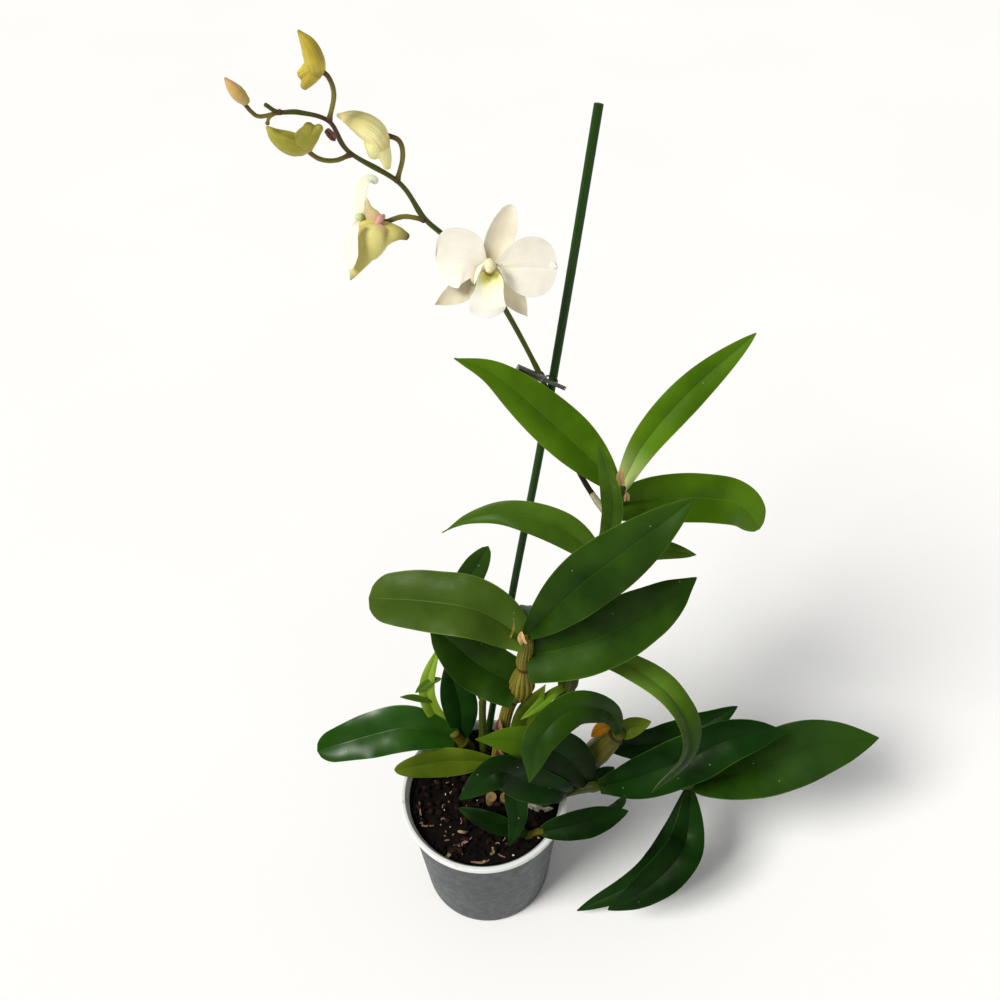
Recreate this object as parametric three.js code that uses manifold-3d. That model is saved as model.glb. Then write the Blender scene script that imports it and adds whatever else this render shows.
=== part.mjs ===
// Potted dendrobium orchid: two leafy canes, young shoots, a flower spike tied to a stake.
// Millimetres, +Z up, +X to the right of the plant, +Y to its back.
// The origin is the middle of the pot's foot.
import * as THREE from 'three';
import { mergeVertices } from 'three/addons/utils/BufferGeometryUtils.js';
import Module from 'manifold-3d';

const wasm = await Module();
wasm.setup();

// ---------------------------------------------------------------- driving dimensions
const POT_RIM = 60; // outer radius of the rim
const POT_FOOT = 47.5; // outer radius of the foot
const POT_SHOULDER = 56; // outer radius of the wall just under the rim
const POT_HEIGHT = 112;
const POT_WALL = 1.6;
const RIM_DEPTH = 5; // height of the rim's outer band
const RIM_LIP = 2.8; // breadth of the rim's flat top
const DRAIN_RADIUS = 4; // six drain holes, off the middle
const DRAIN_CIRCLE = 28;
const SOIL_TOP = 105.5;
const STAKE_RADIUS = 2.6;
const BLADE = 1.0; // thickness of a leaf
const PETAL = 0.8; // thickness of a petal
const GAP = 0.35; // clearance between two nodes

// ---------------------------------------------------------------- colours
const PAINT = {
  pot: [0x9da3a6, 0.5], soil: [0x2a1d15, 0.95], stake: [0x1c4a22, 0.45], clip: [0x3a3d40, 0.4],
  oldCane: [0x9a8f55, 0.6], cane: [0x5f7032, 0.5], bulb: [0x8b8a3a, 0.5], stub: [0xa98e62, 0.8],
  leaf: [0x2f5a1f, 0.35], freshLeaf: [0x5f8f2d, 0.38],
  spike: [0x4a5a2a, 0.5], bud: [0xc3c26a, 0.45], petal: [0xf5f2ea, 0.5], lip: [0xe4e6a6, 0.5],
};

const part = new THREE.Group();
part.name = 'potted_dendrobium';

// ---------------------------------------------------------------- helpers
const vec = (p) => new THREE.Vector3(p[0], p[1], p[2]);

// A closed solid from plain lists of corners and triangles.
function solidFrom(corners, triangles) {
  const vertProperties = new Float32Array(corners.length * 3);
  corners.forEach((p, i) => vertProperties.set([p.x, p.y, p.z], i * 3));
  return new wasm.Manifold(new wasm.Mesh({
    numProp: 3, vertProperties, triVerts: new Uint32Array(triangles.flat()),
  }));
}

// A closed solid from a three.js geometry, with its seams merged.
function solid(geometry) {
  geometry.deleteAttribute('normal');
  geometry.deleteAttribute('uv');
  const merged = mergeVertices(geometry, 1e-4);
  const at = merged.getAttribute('position');
  const corners = [];
  for (let i = 0; i < at.count; i += 1) corners.push(new THREE.Vector3().fromBufferAttribute(at, i));
  const triangles = [];
  for (let i = 0; i < merged.index.count; i += 3) {
    const [a, b, c] = [0, 1, 2].map((k) => merged.index.getX(i + k));
    if (a !== b && b !== c && c !== a) triangles.push([a, b, c]);
  }
  return solidFrom(corners, triangles);
}

const fuse = (...solids) => solids.reduce((whole, next) => whole.add(next));

// Cuts the given solids away and keeps the largest piece that is left.
function cutClear(body, ...others) {
  const cut = others.reduce((whole, other) => whole.subtract(other), body);
  const pieces = cut.decompose();
  return pieces.reduce((best, next) => (next.volume() > best.volume() ? next : best));
}

function place(name, shape, paint) {
  const mesh = shape.getMesh();
  const geometry = new THREE.BufferGeometry();
  geometry.setAttribute('position', new THREE.BufferAttribute(new Float32Array(mesh.vertProperties), 3));
  geometry.setIndex(new THREE.BufferAttribute(new Uint32Array(mesh.triVerts), 1));
  geometry.computeVertexNormals();
  const [color, roughness] = PAINT[paint];
  const node = new THREE.Mesh(geometry, new THREE.MeshStandardMaterial({ color, roughness, metalness: 0 }));
  node.name = name;
  part.add(node);
  return shape;
}

// A value read along a list of [position 0..1, value] pairs.
function along(pairs, t) {
  for (let i = 1; i < pairs.length; i += 1) {
    const [[t0, a], [t1, b]] = [pairs[i - 1], pairs[i]];
    if (t <= t1) return a + ((b - a) * (t - t0)) / (t1 - t0);
  }
  return pairs[pairs.length - 1][1];
}

const BACK = new THREE.Vector3(0, 1, 0);
const KNOT = 0.022; // half length of a swollen node, as a share of its stem
const curveThrough = (points) => new THREE.CatmullRomCurve3(points.map(vec), false, 'catmullrom', 0.5);

// A round or ribbed stem along a curve: radii are [position, radius] pairs, knots are the
// positions of the swollen nodes, ribs is the depth of the flutes as a share of the radius,
// and grow widens the stem to cut a clear hole.
function stem({ spine, radii, sides = 8, steps = 10, knots = [], swell = 0.16, ribs = 0 }, grow = 0) {
  const curve = curveThrough(spine);
  const even = Array.from({ length: steps + 1 }, (_, i) => i / steps);
  const rings = knots.flatMap((k) => [k - KNOT, k, k + KNOT]).filter((t) => t > 0 && t < 1);
  const stations = [...even.filter((t) => rings.every((r) => Math.abs(r - t) > KNOT / 2)), ...rings]
    .sort((m, n) => m - n);
  const corners = [];
  for (const t of stations) {
    const centre = curve.getPointAt(t);
    const forward = curve.getTangentAt(t);
    const u = forward.clone().cross(BACK).normalize();
    const w = forward.clone().cross(u);
    const bulge = knots.reduce((sum, k) => sum + swell * Math.exp(-(((t - k) / KNOT) ** 2) * 2), 1);
    for (let j = 0; j < sides; j += 1) {
      const angle = (2 * Math.PI * j) / sides;
      const rib = ribs && !grow && j % 2 ? 1 - ribs : 1;
      const r = along(radii, t) * bulge * rib + grow;
      corners.push(centre.clone().addScaledVector(u, r * Math.cos(angle))
        .addScaledVector(w, r * Math.sin(angle)));
    }
  }
  const triangles = [];
  const top = (stations.length - 1) * sides;
  for (let i = 0; i < top; i += sides) {
    for (let j = 0; j < sides; j += 1) {
      const [a, b] = [i + j, i + ((j + 1) % sides)];
      triangles.push([a, b, b + sides], [a, b + sides, a + sides]);
    }
  }
  for (let j = 1; j < sides - 1; j += 1) triangles.push([0, j + 1, j], [top, top + j, top + j + 1]);
  return solidFrom(corners, triangles);
}

// A leaf or petal: a thin closed blade along a curve. face is the way its upper side looks,
// at even steps from the root to the tip; cup lifts the edges; rootEnd and tipEnd round the
// outline (smaller is blunter). Both faces are split into triangles alike.
function blade({
  spine, width, face, cup = 0.14, widest = 0.5, rootEnd = 0.6, tipEnd = 0.75, rootWidth = 0.14,
  across = 4, steps = 9, thick = BLADE,
}, grow = 0) {
  const curve = curveThrough(spine);
  const upper = [];
  const lower = [];
  for (let i = 0; i <= steps; i += 1) {
    const s = i / steps;
    const t = 0.65 * s + 0.35 * (0.5 - 0.5 * Math.cos(Math.PI * s));
    const centre = curve.getPointAt(t);
    const forward = curve.getTangentAt(t);
    const f = t * (face.length - 1);
    const k = Math.min(Math.floor(f), Math.max(face.length - 2, 0));
    const look = vec(face[k]).lerp(vec(face[Math.min(k + 1, face.length - 1)]), f - k);
    const side = forward.clone().cross(look).normalize();
    const normal = side.clone().cross(forward);
    const swell = t < widest
      ? rootWidth + (1 - rootWidth) * Math.sin((Math.PI / 2) * (t / widest)) ** rootEnd
      : Math.cos((Math.PI / 2) * ((t - widest) / (1 - widest))) ** tipEnd;
    const half = Math.max((width / 2) * swell, 0.7) + grow;
    for (let j = 0; j <= across; j += 1) {
      const q = (2 * j) / across - 1;
      const lift = cup * half * Math.abs(q) ** 1.5;
      const point = centre.clone().addScaledVector(side, half * q).addScaledVector(normal, lift);
      upper.push(point.clone().addScaledVector(normal, thick / 2 + grow));
      lower.push(point.clone().addScaledVector(normal, -thick / 2 - grow));
    }
  }
  const row = across + 1;
  const under = upper.length;
  const triangles = [];
  for (let i = 0; i < steps; i += 1) {
    for (let j = 0; j < across; j += 1) {
      const a = i * row + j;
      const [b, d, c] = [a + row, a + 1, a + row + 1];
      triangles.push([a, d, b], [d, c, b]);
      triangles.push([under + a, under + b, under + d], [under + d, under + b, under + c]);
    }
    const [l, r] = [i * row, i * row + across];
    triangles.push([under + r, under + r + row, r + row], [under + r, r + row, r]);
    triangles.push([under + l, l + row, under + l + row], [under + l, l, l + row]);
  }
  const last = steps * row;
  for (let j = 0; j < across; j += 1) {
    triangles.push([under + j, under + j + 1, j + 1], [under + j, j + 1, j]);
    const [m, n] = [last + j, last + j + 1];
    triangles.push([under + m, n, under + n], [under + m, m, n]);
  }
  return solidFrom([...upper, ...lower], triangles);
}

// ---------------------------------------------------------------- pot
const turned = (profile, segments) => new THREE.LatheGeometry(
  profile.map(([r, z]) => new THREE.Vector2(r, z)), segments,
).rotateX(Math.PI / 2);

const wallRadius = (z) => POT_FOOT + ((POT_SHOULDER - POT_FOOT) * z) / (POT_HEIGHT - RIM_DEPTH);
const RIM_FOOT = POT_HEIGHT - RIM_DEPTH;
let pot = solid(turned([
  [0, 0], [POT_FOOT - 1, 0], [POT_FOOT, 1.5], [POT_SHOULDER, RIM_FOOT - 1],
  [POT_RIM - 0.6, RIM_FOOT], [POT_RIM, RIM_FOOT + 0.8], [POT_RIM, POT_HEIGHT - 0.6],
  [POT_RIM - 0.6, POT_HEIGHT], [POT_RIM - RIM_LIP, POT_HEIGHT], [POT_RIM - RIM_LIP - 0.5, POT_HEIGHT - 1],
  [wallRadius(RIM_FOOT) - POT_WALL, RIM_FOOT], [POT_FOOT - POT_WALL, 2.5], [0, 2.5],
], 48));
for (let i = 0; i < 6; i += 1) {
  const angle = (Math.PI * (i + 0.5)) / 3;
  pot = pot.subtract(solid(new THREE.CylinderGeometry(DRAIN_RADIUS, DRAIN_RADIUS, 10, 8)
    .rotateX(Math.PI / 2)
    .translate(DRAIN_CIRCLE * Math.cos(angle), DRAIN_CIRCLE * Math.sin(angle), 1)));
}
place('pot', pot, 'pot');

// ---------------------------------------------------------------- stake and canes
const STAKE = {
  spine: [[-8, 32, 30], [2, 44, 105], [24, 70, 249], [42, 88, 356], [57, 105, 455], [72, 126, 556]],
  radii: [[0, STAKE_RADIUS], [1, STAKE_RADIUS]], steps: 12,
};
const CANES = {
  // the old ribbed cane at the front, with its chain of swollen lengths
  cane_front: {
    paint: 'oldCane', sides: 12, steps: 14, ribs: 0.1, knots: [0.36, 0.59, 0.73, 0.86], swell: -0.14,
    spine: [
      [8, 25, 78], [9, 24, 106], [18, 22, 179], [28, 20, 211], [30, 18, 244], [32, 16, 262], [30, 15, 272],
    ],
    radii: [
      [0, 4.6], [0.36, 4.8], [0.5, 5.6], [0.59, 5], [0.65, 8.6], [0.73, 5.2], [0.79, 5.6], [0.87, 3.4],
      [1, 2.4],
    ],
  },
  // the tall cane that bears the spike
  cane_tall: {
    paint: 'cane', sides: 8, steps: 12, knots: [0.19, 0.32, 0.45, 0.58, 0.71, 0.83, 0.93],
    spine: [
      [37, 15, 76], [41, 16, 104], [58, 26, 195], [70, 35, 260], [77, 42, 310], [82, 47, 342], [88, 50, 364],
    ],
    radii: [[0, 4], [0.1, 4.6], [0.3, 6], [0.5, 5.8], [0.75, 4.4], [1, 2.8]],
  },
  // the short swollen shoot at the left
  cane_left: {
    paint: 'bulb', sides: 8, steps: 6, knots: [0.5, 0.8],
    spine: [[-13, 40, 78], [-14, 39, 102], [-17, 38, 116], [-21, 38, 128]],
    radii: [[0, 5.4], [0.5, 7], [0.8, 6], [1, 4]],
  },
  // a thin shoot between the two
  cane_back: {
    paint: 'cane', sides: 6, steps: 6, knots: [0.5, 0.9],
    spine: [[0, 32, 80], [0, 34, 106], [0, 38, 140], [1, 46, 168]],
    radii: [[0, 2.6], [0.5, 3.2], [1, 2.2]],
  },
  // the thick young bulb that leans over the rim
  cane_bulb: {
    paint: 'bulb', sides: 10, steps: 9, knots: [0.36, 0.66, 0.94], swell: 0.07,
    spine: [[34, 5, 84], [41, 6, 104], [52, 8, 124], [70, 10, 143], [86, 11, 157], [96, 10, 168]],
    radii: [[0, 3.6], [0.3, 4.6], [0.5, 7.2], [0.72, 9.2], [0.88, 7], [1, 3.6]],
  },
  // the low cane that lies out over the rim to the right
  cane_low: {
    paint: 'cane', sides: 8, steps: 10, knots: [0.25, 0.45, 0.66, 0.95],
    spine: [[34, -8, 86], [44, -8, 108], [60, -8, 122], [82, -7, 127], [116, -2, 119], [151, 4, 104]],
    radii: [[0, 3.2], [0.4, 3.8], [1, 3]],
  },
  // the smallest shoot, at the front
  cane_small: {
    paint: 'cane', sides: 6, steps: 5, knots: [0.65],
    spine: [[26, -32, 88], [29, -32, 102], [36, -33, 112], [40, -35, 117]],
    radii: [[0, 2.4], [1, 2.4]],
  },
  // two old canes cut off short
  cane_stub_1: {
    paint: 'stub', steps: 3, spine: [[2, -3, 84], [4, -4, 98], [5, -5, 112]], radii: [[0, 3.4], [1, 3.8]],
  },
  cane_stub_2: {
    paint: 'stub', steps: 3, spine: [[13, -2, 84], [14, -3, 98], [15, -5, 111]], radii: [[0, 3.2], [1, 3.6]],
  },
};
place('stake', stem(STAKE), 'stake');
const grown = { stake: stem(STAKE, GAP) };
for (const [name, cane] of Object.entries(CANES)) {
  place(name, stem(cane), cane.paint);
  grown[name] = stem(cane, GAP);
}

// ---------------------------------------------------------------- potting mix
const crumb = (x, y) => 0.9 * Math.sin(x * 0.31 + 1.3) * Math.cos(y * 0.27)
  + 0.5 * Math.sin(x * 0.83 + y * 0.57) + 0.4 * Math.cos(x * 1.31 - y * 1.13);
const soilShape = turned([
  [0, 2.5 + GAP], [wallRadius(3) - POT_WALL - GAP - 0.3, 2.5 + GAP],
  [wallRadius(SOIL_TOP) - POT_WALL - GAP, SOIL_TOP - 1.6], [43, SOIL_TOP - 0.6], [33, SOIL_TOP],
  [22, SOIL_TOP + 0.6], [11, SOIL_TOP + 1], [0, SOIL_TOP + 1],
], 30);
const soilAt = soilShape.getAttribute('position');
for (let i = 0; i < soilAt.count; i += 1) {
  const [x, y, z] = [soilAt.getX(i), soilAt.getY(i), soilAt.getZ(i)];
  const radius = Math.hypot(x, y);
  if (z > SOIL_TOP - 1.5 && radius < 48) soilAt.setZ(i, z + crumb(x, y));
}
place('potting_mix', cutClear(solid(soilShape), ...Object.values(grown)), 'soil');

// ---------------------------------------------------------------- leaves
const OUT = [0, -0.7, 0.7]; // towards the front and up
const SMALL = { across: 2, steps: 7 };
const LEAVES = {
  // on the old cane
  leaf_front_left: {
    on: 'cane_front', width: 39, face: [[0, -0.5, 0.85]], tipEnd: 0.4, rootEnd: 0.55,
    spine: [[30, 15, 268], [3, 18, 293], [-31, 27, 293], [-66, 35, 288]],
  },
  leaf_front_right: {
    on: 'cane_front', width: 35, face: [OUT], rootEnd: 0.85, widest: 0.52,
    spine: [[31, 15, 271], [62, 8, 326], [93, 4, 367], [120, 8, 394]],
  },
  leaf_front_lower_right: {
    on: 'cane_front', width: 36, face: [OUT], rootEnd: 0.7,
    spine: [[31, 17, 248], [70, 12, 268], [102, 12, 294], [131, 16, 321]],
  },
  leaf_front_lower_left: {
    on: 'cane_front', width: 34, face: [OUT], rootEnd: 0.8,
    spine: [[27, 20, 211], [1, 30, 222], [-15, 36, 237], [-31, 40, 253]],
  },
  leaf_front_back: {
    on: 'cane_front', width: 20, face: [[0, -0.3, 1]], ...SMALL,
    spine: [[31, 16, 265], [35, 36, 264], [39, 56, 250]],
  },
  // on the tall cane
  leaf_tall_left: {
    on: 'cane_tall', width: 28, face: [OUT], widest: 0.4, tipEnd: 0.9, rootEnd: 0.8,
    spine: [[86, 49, 362], [65, 57, 386], [39, 64, 412], [16, 66, 435], [-5, 64, 448]],
  },
  leaf_tall_right: {
    on: 'cane_tall', width: 20, face: [OUT], rootEnd: 0.9,
    spine: [[87, 50, 362], [101, 60, 389], [126, 70, 418], [157, 75, 451]],
  },
  leaf_tall_drooping: {
    on: 'cane_tall', width: 28, face: [OUT], tipEnd: 0.45, rootEnd: 0.7,
    spine: [[86, 49, 350], [115, 58, 345], [144, 64, 338], [166, 68, 327], [181, 68, 306]],
  },
  leaf_tall_upright: {
    on: 'cane_tall', width: 14, face: [[-0.5, -0.7, 0.3]], ...SMALL,
    spine: [[79, 42, 322], [82, 36, 355], [79, 34, 381], [71, 34, 410]],
  },
  leaf_tall_lower_left: {
    on: 'cane_tall', width: 21, face: [OUT], widest: 0.3, tipEnd: 1.3,
    spine: [[77, 43, 311], [53, 50, 330], [23, 58, 336], [-1, 60, 331], [-19, 60, 319]],
  },
  leaf_tall_lower_right: {
    on: 'cane_tall', width: 13, face: [OUT], ...SMALL,
    spine: [[76, 43, 300], [110, 54, 304], [141, 60, 292]],
  },
  leaf_tall_arching: {
    on: 'cane_tall', width: 22, face: [[0.2, -0.4, 0.8], [0.8, -0.4, 0.4], [0.8, -0.5, 0]],
    paint: 'freshLeaf',
    spine: [[66, 31, 232], [96, 20, 231], [125, 2, 218], [137, -16, 188], [114, -26, 149]],
  },
  leaf_tall_small: {
    on: 'cane_tall', width: 7, face: [OUT], ...SMALL, paint: 'freshLeaf',
    spine: [[60, 26, 202], [49, 16, 208], [37, 8, 203], [27, 4, 196]],
  },
  leaf_tall_base: {
    on: 'cane_tall', width: 16, face: [OUT], ...SMALL, spine: [[44, 17, 120], [35, 14, 173], [43, 14, 221]],
  },
  // on the left shoots
  leaf_left_low: {
    on: 'cane_left', width: 36, face: [[0, -0.6, 0.8]], tipEnd: 0.5, rootEnd: 0.8,
    spine: [[-21, 37, 125], [-53, 36, 140], [-82, 34, 135], [-122, 30, 122]],
  },
  leaf_left_upright: {
    on: 'cane_left', width: 26, face: [OUT], rootEnd: 0.8, steps: 8,
    spine: [[-16, 39, 118], [-16, 47, 152], [-23, 53, 194]],
  },
  leaf_left_narrow: {
    on: 'cane_left', width: 12, face: [OUT], ...SMALL, paint: 'freshLeaf',
    spine: [[-17, 39, 109], [-36, 45, 150], [-38, 50, 176], [-28, 56, 209]],
  },
  leaf_left_base: {
    on: 'cane_front', width: 21, face: [OUT], steps: 7, rootEnd: 0.8,
    spine: [[9, 24, 112], [-28, 22, 116], [-65, 15, 118]],
  },
  leaf_back_left: {
    on: 'cane_back', width: 20, face: [OUT], steps: 8,
    spine: [[1, 45, 164], [-9, 54, 218], [-7, 60, 264], [9, 64, 301]],
  },
  // on the young bulb
  leaf_bulb_arching: {
    on: 'cane_bulb', width: 25, face: [[0, -0.7, 0.7], [0, -0.8, 0.6], [-0.6, -0.8, 0]],
    rootEnd: 1, widest: 0.6, tipEnd: 0.9,
    spine: [[95, 9, 166], [84, 0, 208], [61, -8, 226], [39, -22, 215], [31, -34, 181]],
  },
  leaf_bulb_back: {
    on: 'cane_bulb', width: 26, face: [OUT], rootEnd: 0.8,
    spine: [[84, 12, 148], [128, 24, 131], [160, 30, 144], [182, 34, 159]],
  },
  leaf_bulb_small: {
    on: 'cane_bulb', width: 10, face: [OUT], ...SMALL,
    spine: [[94, 11, 166], [104, 14, 172], [117, 16, 173]],
  },
  // on the low cane
  leaf_low_middle: {
    on: 'cane_low', width: 36, face: [OUT], rootEnd: 0.8,
    spine: [[80, -6, 126], [112, -2, 133], [145, 2, 146], [173, 6, 162], [211, 10, 163]],
  },
  leaf_low_far: {
    on: 'cane_low', width: 45, face: [[0, -0.5, 0.87]], tipEnd: 0.85,
    spine: [[150, 4, 104], [197, 10, 115], [241, 20, 124], [290, 28, 122]],
  },
  leaf_low_hanging_back: {
    on: 'cane_low', width: 21, face: [OUT], rootEnd: 0.9,
    spine: [[149, 5, 103], [141, -8, 68], [129, -23, 49], [109, -36, 34], [67, -45, 9]],
  },
  leaf_low_hanging_front: {
    on: 'cane_low', width: 29, face: [OUT], rootEnd: 0.8,
    spine: [[150, 3, 102], [147, -20, 78], [138, -36, 72], [115, -50, 55], [88, -56, 35]],
  },
  // low in the middle, over the potting mix
  leaf_base_left: {
    on: 'cane_low', width: 24, face: [OUT], rootEnd: 0.8,
    spine: [[72, -7, 126], [46, -6, 163], [23, -10, 191], [-3, -12, 199]],
  },
  leaf_base_arching: {
    on: 'cane_low', width: 26, face: [OUT], rootEnd: 0.8,
    spine: [[60, -9, 122], [53, -17, 139], [30, -22, 161], [11, -28, 185], [-15, -34, 162]],
  },
  leaf_base_down: {
    on: 'cane_low', width: 16, face: [OUT], ...SMALL,
    spine: [[46, -8, 112], [24, -22, 152], [23, -34, 134], [17, -43, 112]],
  },
  leaf_base_small: {
    on: 'cane_small', width: 14, face: [OUT], ...SMALL,
    spine: [[30, -32, 108], [3, -26, 117], [-18, -18, 121]],
  },
  leaf_base_right: {
    on: 'cane_small', width: 21, face: [OUT], steps: 7,
    spine: [[38, -34, 115], [70, -32, 122], [100, -26, 125]],
  },
};
const bladeCuts = {};
for (const [name, leaf] of Object.entries(LEAVES)) {
  // a leaf that shares its node with others is cut clear of those that were made before it
  const neighbours = Object.keys(bladeCuts).filter((other) => LEAVES[other].on === leaf.on);
  const shape = cutClear(blade(leaf), grown[leaf.on], ...neighbours.map((n) => bladeCuts[n]));
  place(name, shape, leaf.paint ?? 'leaf');
  bladeCuts[name] = blade(leaf, GAP);
}

// torn ends of dry sheath, one on top of each of the two tall canes
const TORN = { across: 2, steps: 3, rootWidth: 0.8, tipEnd: 0.6, cup: 0.5 };
const torn = {
  torn_sheath_front: {
    on: 'cane_front', width: 5, face: [OUT], ...TORN,
    spine: [[30, 14, 270], [28, 11, 274], [27, 10, 279]],
  },
  torn_sheath_tall: {
    on: 'cane_tall', width: 5, face: [OUT], ...TORN,
    spine: [[88, 49, 362], [87, 46, 368], [87, 45, 374]],
  },
};
for (const [name, sheath] of Object.entries(torn)) {
  const neighbours = Object.keys(bladeCuts).filter((other) => LEAVES[other].on === sheath.on);
  place(name, cutClear(blade(sheath), grown[sheath.on], ...neighbours.map((n) => bladeCuts[n])), 'stub');
}

// ---------------------------------------------------------------- buds
const BUDS = {
  bud_top: {
    spine: [[-62, 66, 592], [-57, 66, 601], [-57, 66, 609], [-61, 66, 616]],
    radii: [[0, 2], [0.25, 3.6], [0.5, 4.8], [0.75, 4.2], [0.92, 2.3], [1, 0.8]],
  },
  bud_right: {
    spine: [[-32, 78, 547], [-33, 78, 559], [-39, 76, 571], [-52, 74, 576]],
    radii: [[0, 1.8], [0.25, 4], [0.5, 6], [0.75, 5.4], [0.92, 3], [1, 0.8]],
  },
  bud_left: {
    spine: [[-58, 66, 574], [-66, 64, 570], [-74, 62, 571], [-80, 60, 577]],
    radii: [[0, 2], [0.25, 4.4], [0.5, 5.6], [0.75, 5], [0.92, 2.8], [1, 0.8]],
  },
  bud_small: {
    spine: [[-83, 50, 591], [-87, 50, 598], [-91, 50, 605]],
    radii: [[0, 1.8], [0.4, 3], [0.75, 2.6], [1, 0.8]],
  },
};
const budCuts = [];
for (const [name, bud] of Object.entries(BUDS)) {
  const shape = { sides: 10, steps: 9, ...bud };
  place(name, stem(shape), 'bud');
  budCuts.push(stem(shape, GAP));
}

// ---------------------------------------------------------------- flowers
// Each flower has its own frame, right, up and out (the way it faces), and its petals are
// laid out in it: one upper sepal, two side sepals, two broad petals, a spur, a lip.
// fold turns the inner faces of the side sepals and petals towards each other, and spread is
// how far the lip's side lobes reach.
function flower(name, {
  centre, out, up, upper, sides, petals, lip, sepalWidth = 14, petalWidth, lipWidth, spread, fold = [0, 0],
}) {
  const face = vec(out).normalize();
  const right = vec(up).cross(face).normalize();
  const top = face.clone().cross(right);
  const at = ([a, b, d]) => vec(centre).addScaledVector(right, a).addScaledVector(top, b)
    .addScaledVector(face, d).toArray();
  const petal = (spine, width, more) => blade({
    spine: spine.map(at), width, face: [face.toArray()], thick: PETAL, cup: 0.1, steps: 6, across: 2, ...more,
  });
  const inward = (i, share) => [face.clone().addScaledVector(right, i ? -share : share).toArray()];
  const round = { tipEnd: 0.4, widest: 0.6, across: 4, rootWidth: 0.12, rootEnd: 0.9 };
  const spur = { spine: [[0, -1, -1], [0, -4, -7], [0, -8, -13]], radii: [[0, 3.6], [0.6, 3], [1, 1.2]] };
  const column = { spine: [[0, 0, 4], [0, 1, 8], [0, 0, 12]], radii: [[0, 2.2], [0.6, 2.8], [1, 2]] };
  const whole = fuse(
    solid(new THREE.SphereGeometry(4, 8, 6)).translate(at([0, 0, -0.6])),
    petal(upper, 14),
    ...sides.map((spine, i) => petal(spine, sepalWidth, { face: inward(i, fold[0]), rootWidth: 0.4 })),
    ...petals.map((spine, i) => petal(spine, petalWidth, { ...round, face: inward(i, fold[1]) })),
    stem({ spine: spur.spine.map(at), radii: spur.radii, steps: 3 }),
  );
  place(`${name}_petals`, whole, 'petal');
  const lobe = (reach) => petal(
    [[Math.sign(reach), -1, 5], [reach * 0.65, -3, 8], [reach, -6, 12]],
    spread * 1.3,
    { steps: 4, widest: 0.6, cup: 0.3 },
  );
  place(`${name}_lip`, fuse(
    stem({ spine: column.spine.map(at), radii: column.radii, sides: 6, steps: 3 }),
    petal(lip, lipWidth, { ...round, widest: 0.68, cup: 0.25, rootWidth: 0.3 }),
    lobe(-spread),
    lobe(spread),
  ), 'lip');
  return whole;
}
const petalCuts = [
  flower('flower_front', { // fully open, facing the front
    centre: [15, 78, 492], out: [0.04, -0.85, 0.52], up: [0, 0.52, 0.85],
    petalWidth: 31, lipWidth: 17, spread: 6,
    upper: [[0, 1, 0], [5, 14, -1], [12, 31, -2]],
    sides: [[[-1, -1, 0], [-13, -8, -1], [-27, -16, -4]], [[1, -1, 0], [9, -11, -1], [19, -23, -4]]],
    petals: [[[-1, 0, 1], [-14, 4, 2.5], [-27, 3, 0]], [[1, 0, 1], [18, 1, 2.5], [35, -2, 0]]],
    lip: [[0, -1, 5], [0, -12, 9], [-2, -23, 7]],
  }),
  flower('flower_side', { // half open, facing left, seen from the side
    centre: [-39, 85, 515], out: [-0.97, -0.03, -0.12], up: [-0.1, 0.7, 0.7],
    sepalWidth: 12, petalWidth: 17, lipWidth: 7, spread: 3, fold: [3, 0.6],
    upper: [[0, 2, -1], [0, 10, 4], [0, 16, 7], [0, 21.5, 6], [0, 24, 2.5], [0, 22.5, -1]],
    sides: [[[-2, -3, -7], [-4, -5, 0.5], [-6, -8, 8], [-6, -14, 14], [-5, -20, 19]],
      [[2, -3, -7], [4, -6, -0.5], [6, -10, 6.5], [6, -17, 12], [5, -25, 17]]],
    petals: [[[-1, 0, 0], [-7, -2, 7], [-10, -9, 12], [-9, -15, 16]],
      [[1, 0, 0], [7, -2, 7], [10, -9, 12], [9, -17, 16]]],
    lip: [[0, -1, 5], [0, -4, 9], [0, -9, 13]],
  }),
];

// ---------------------------------------------------------------- flower spike
const twig = (spine, radii, steps = 5, sides = 6) => stem({ spine, radii, steps, sides });
const SPIKE_LINE = [
  [80, 46, 344], [65, 62, 363], [54, 80, 386], [42, 96, 412], [22, 98, 457], [5, 94, 488], [-6, 92, 503],
  [-17, 90, 516], [-27, 84, 538], [-48, 76, 558], [-54, 70, 575], [-65, 62, 583], [-73, 56, 586],
  [-77, 52, 591],
];
const SPIKE = { spine: SPIKE_LINE, radii: [[0, 1.9], [0.5, 1.6], [1, 0.9]], sides: 6, steps: 30 };
const spikeRaw = fuse(
  stem(SPIKE),
  twig([[-54, 69, 576], [-50, 67, 588], [-51, 66, 596], [-55, 66, 600]], [[0, 1.1], [1, 1.1]]),
  twig([[-28, 84, 539], [-24, 82, 552], [-25, 80, 561], [-32, 78, 565]], [[0, 1.2], [1, 1.2]]),
  twig([[-47, 76, 557], [-54, 72, 556], [-61, 68, 559], [-67, 64, 567]], [[0, 1.1], [1, 1.1]]),
  twig([[-72, 56, 586], [-80, 52, 586], [-83, 50, 589], [-86, 50, 594]], [[0, 0.9], [1, 0.9]]),
  twig([[-17, 90, 515], [-27, 88, 518], [-37, 86, 516]], [[0, 1.2], [1, 1.3]]),
  twig([[3, 94, 489], [8, 90, 486], [15, 79, 491]], [[0, 1.2], [1, 1.2]]),
);
const spikeShape = cutClear(spikeRaw, grown.cane_tall, ...budCuts, ...petalCuts);
place('flower_spike', spikeShape, 'spike');

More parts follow.
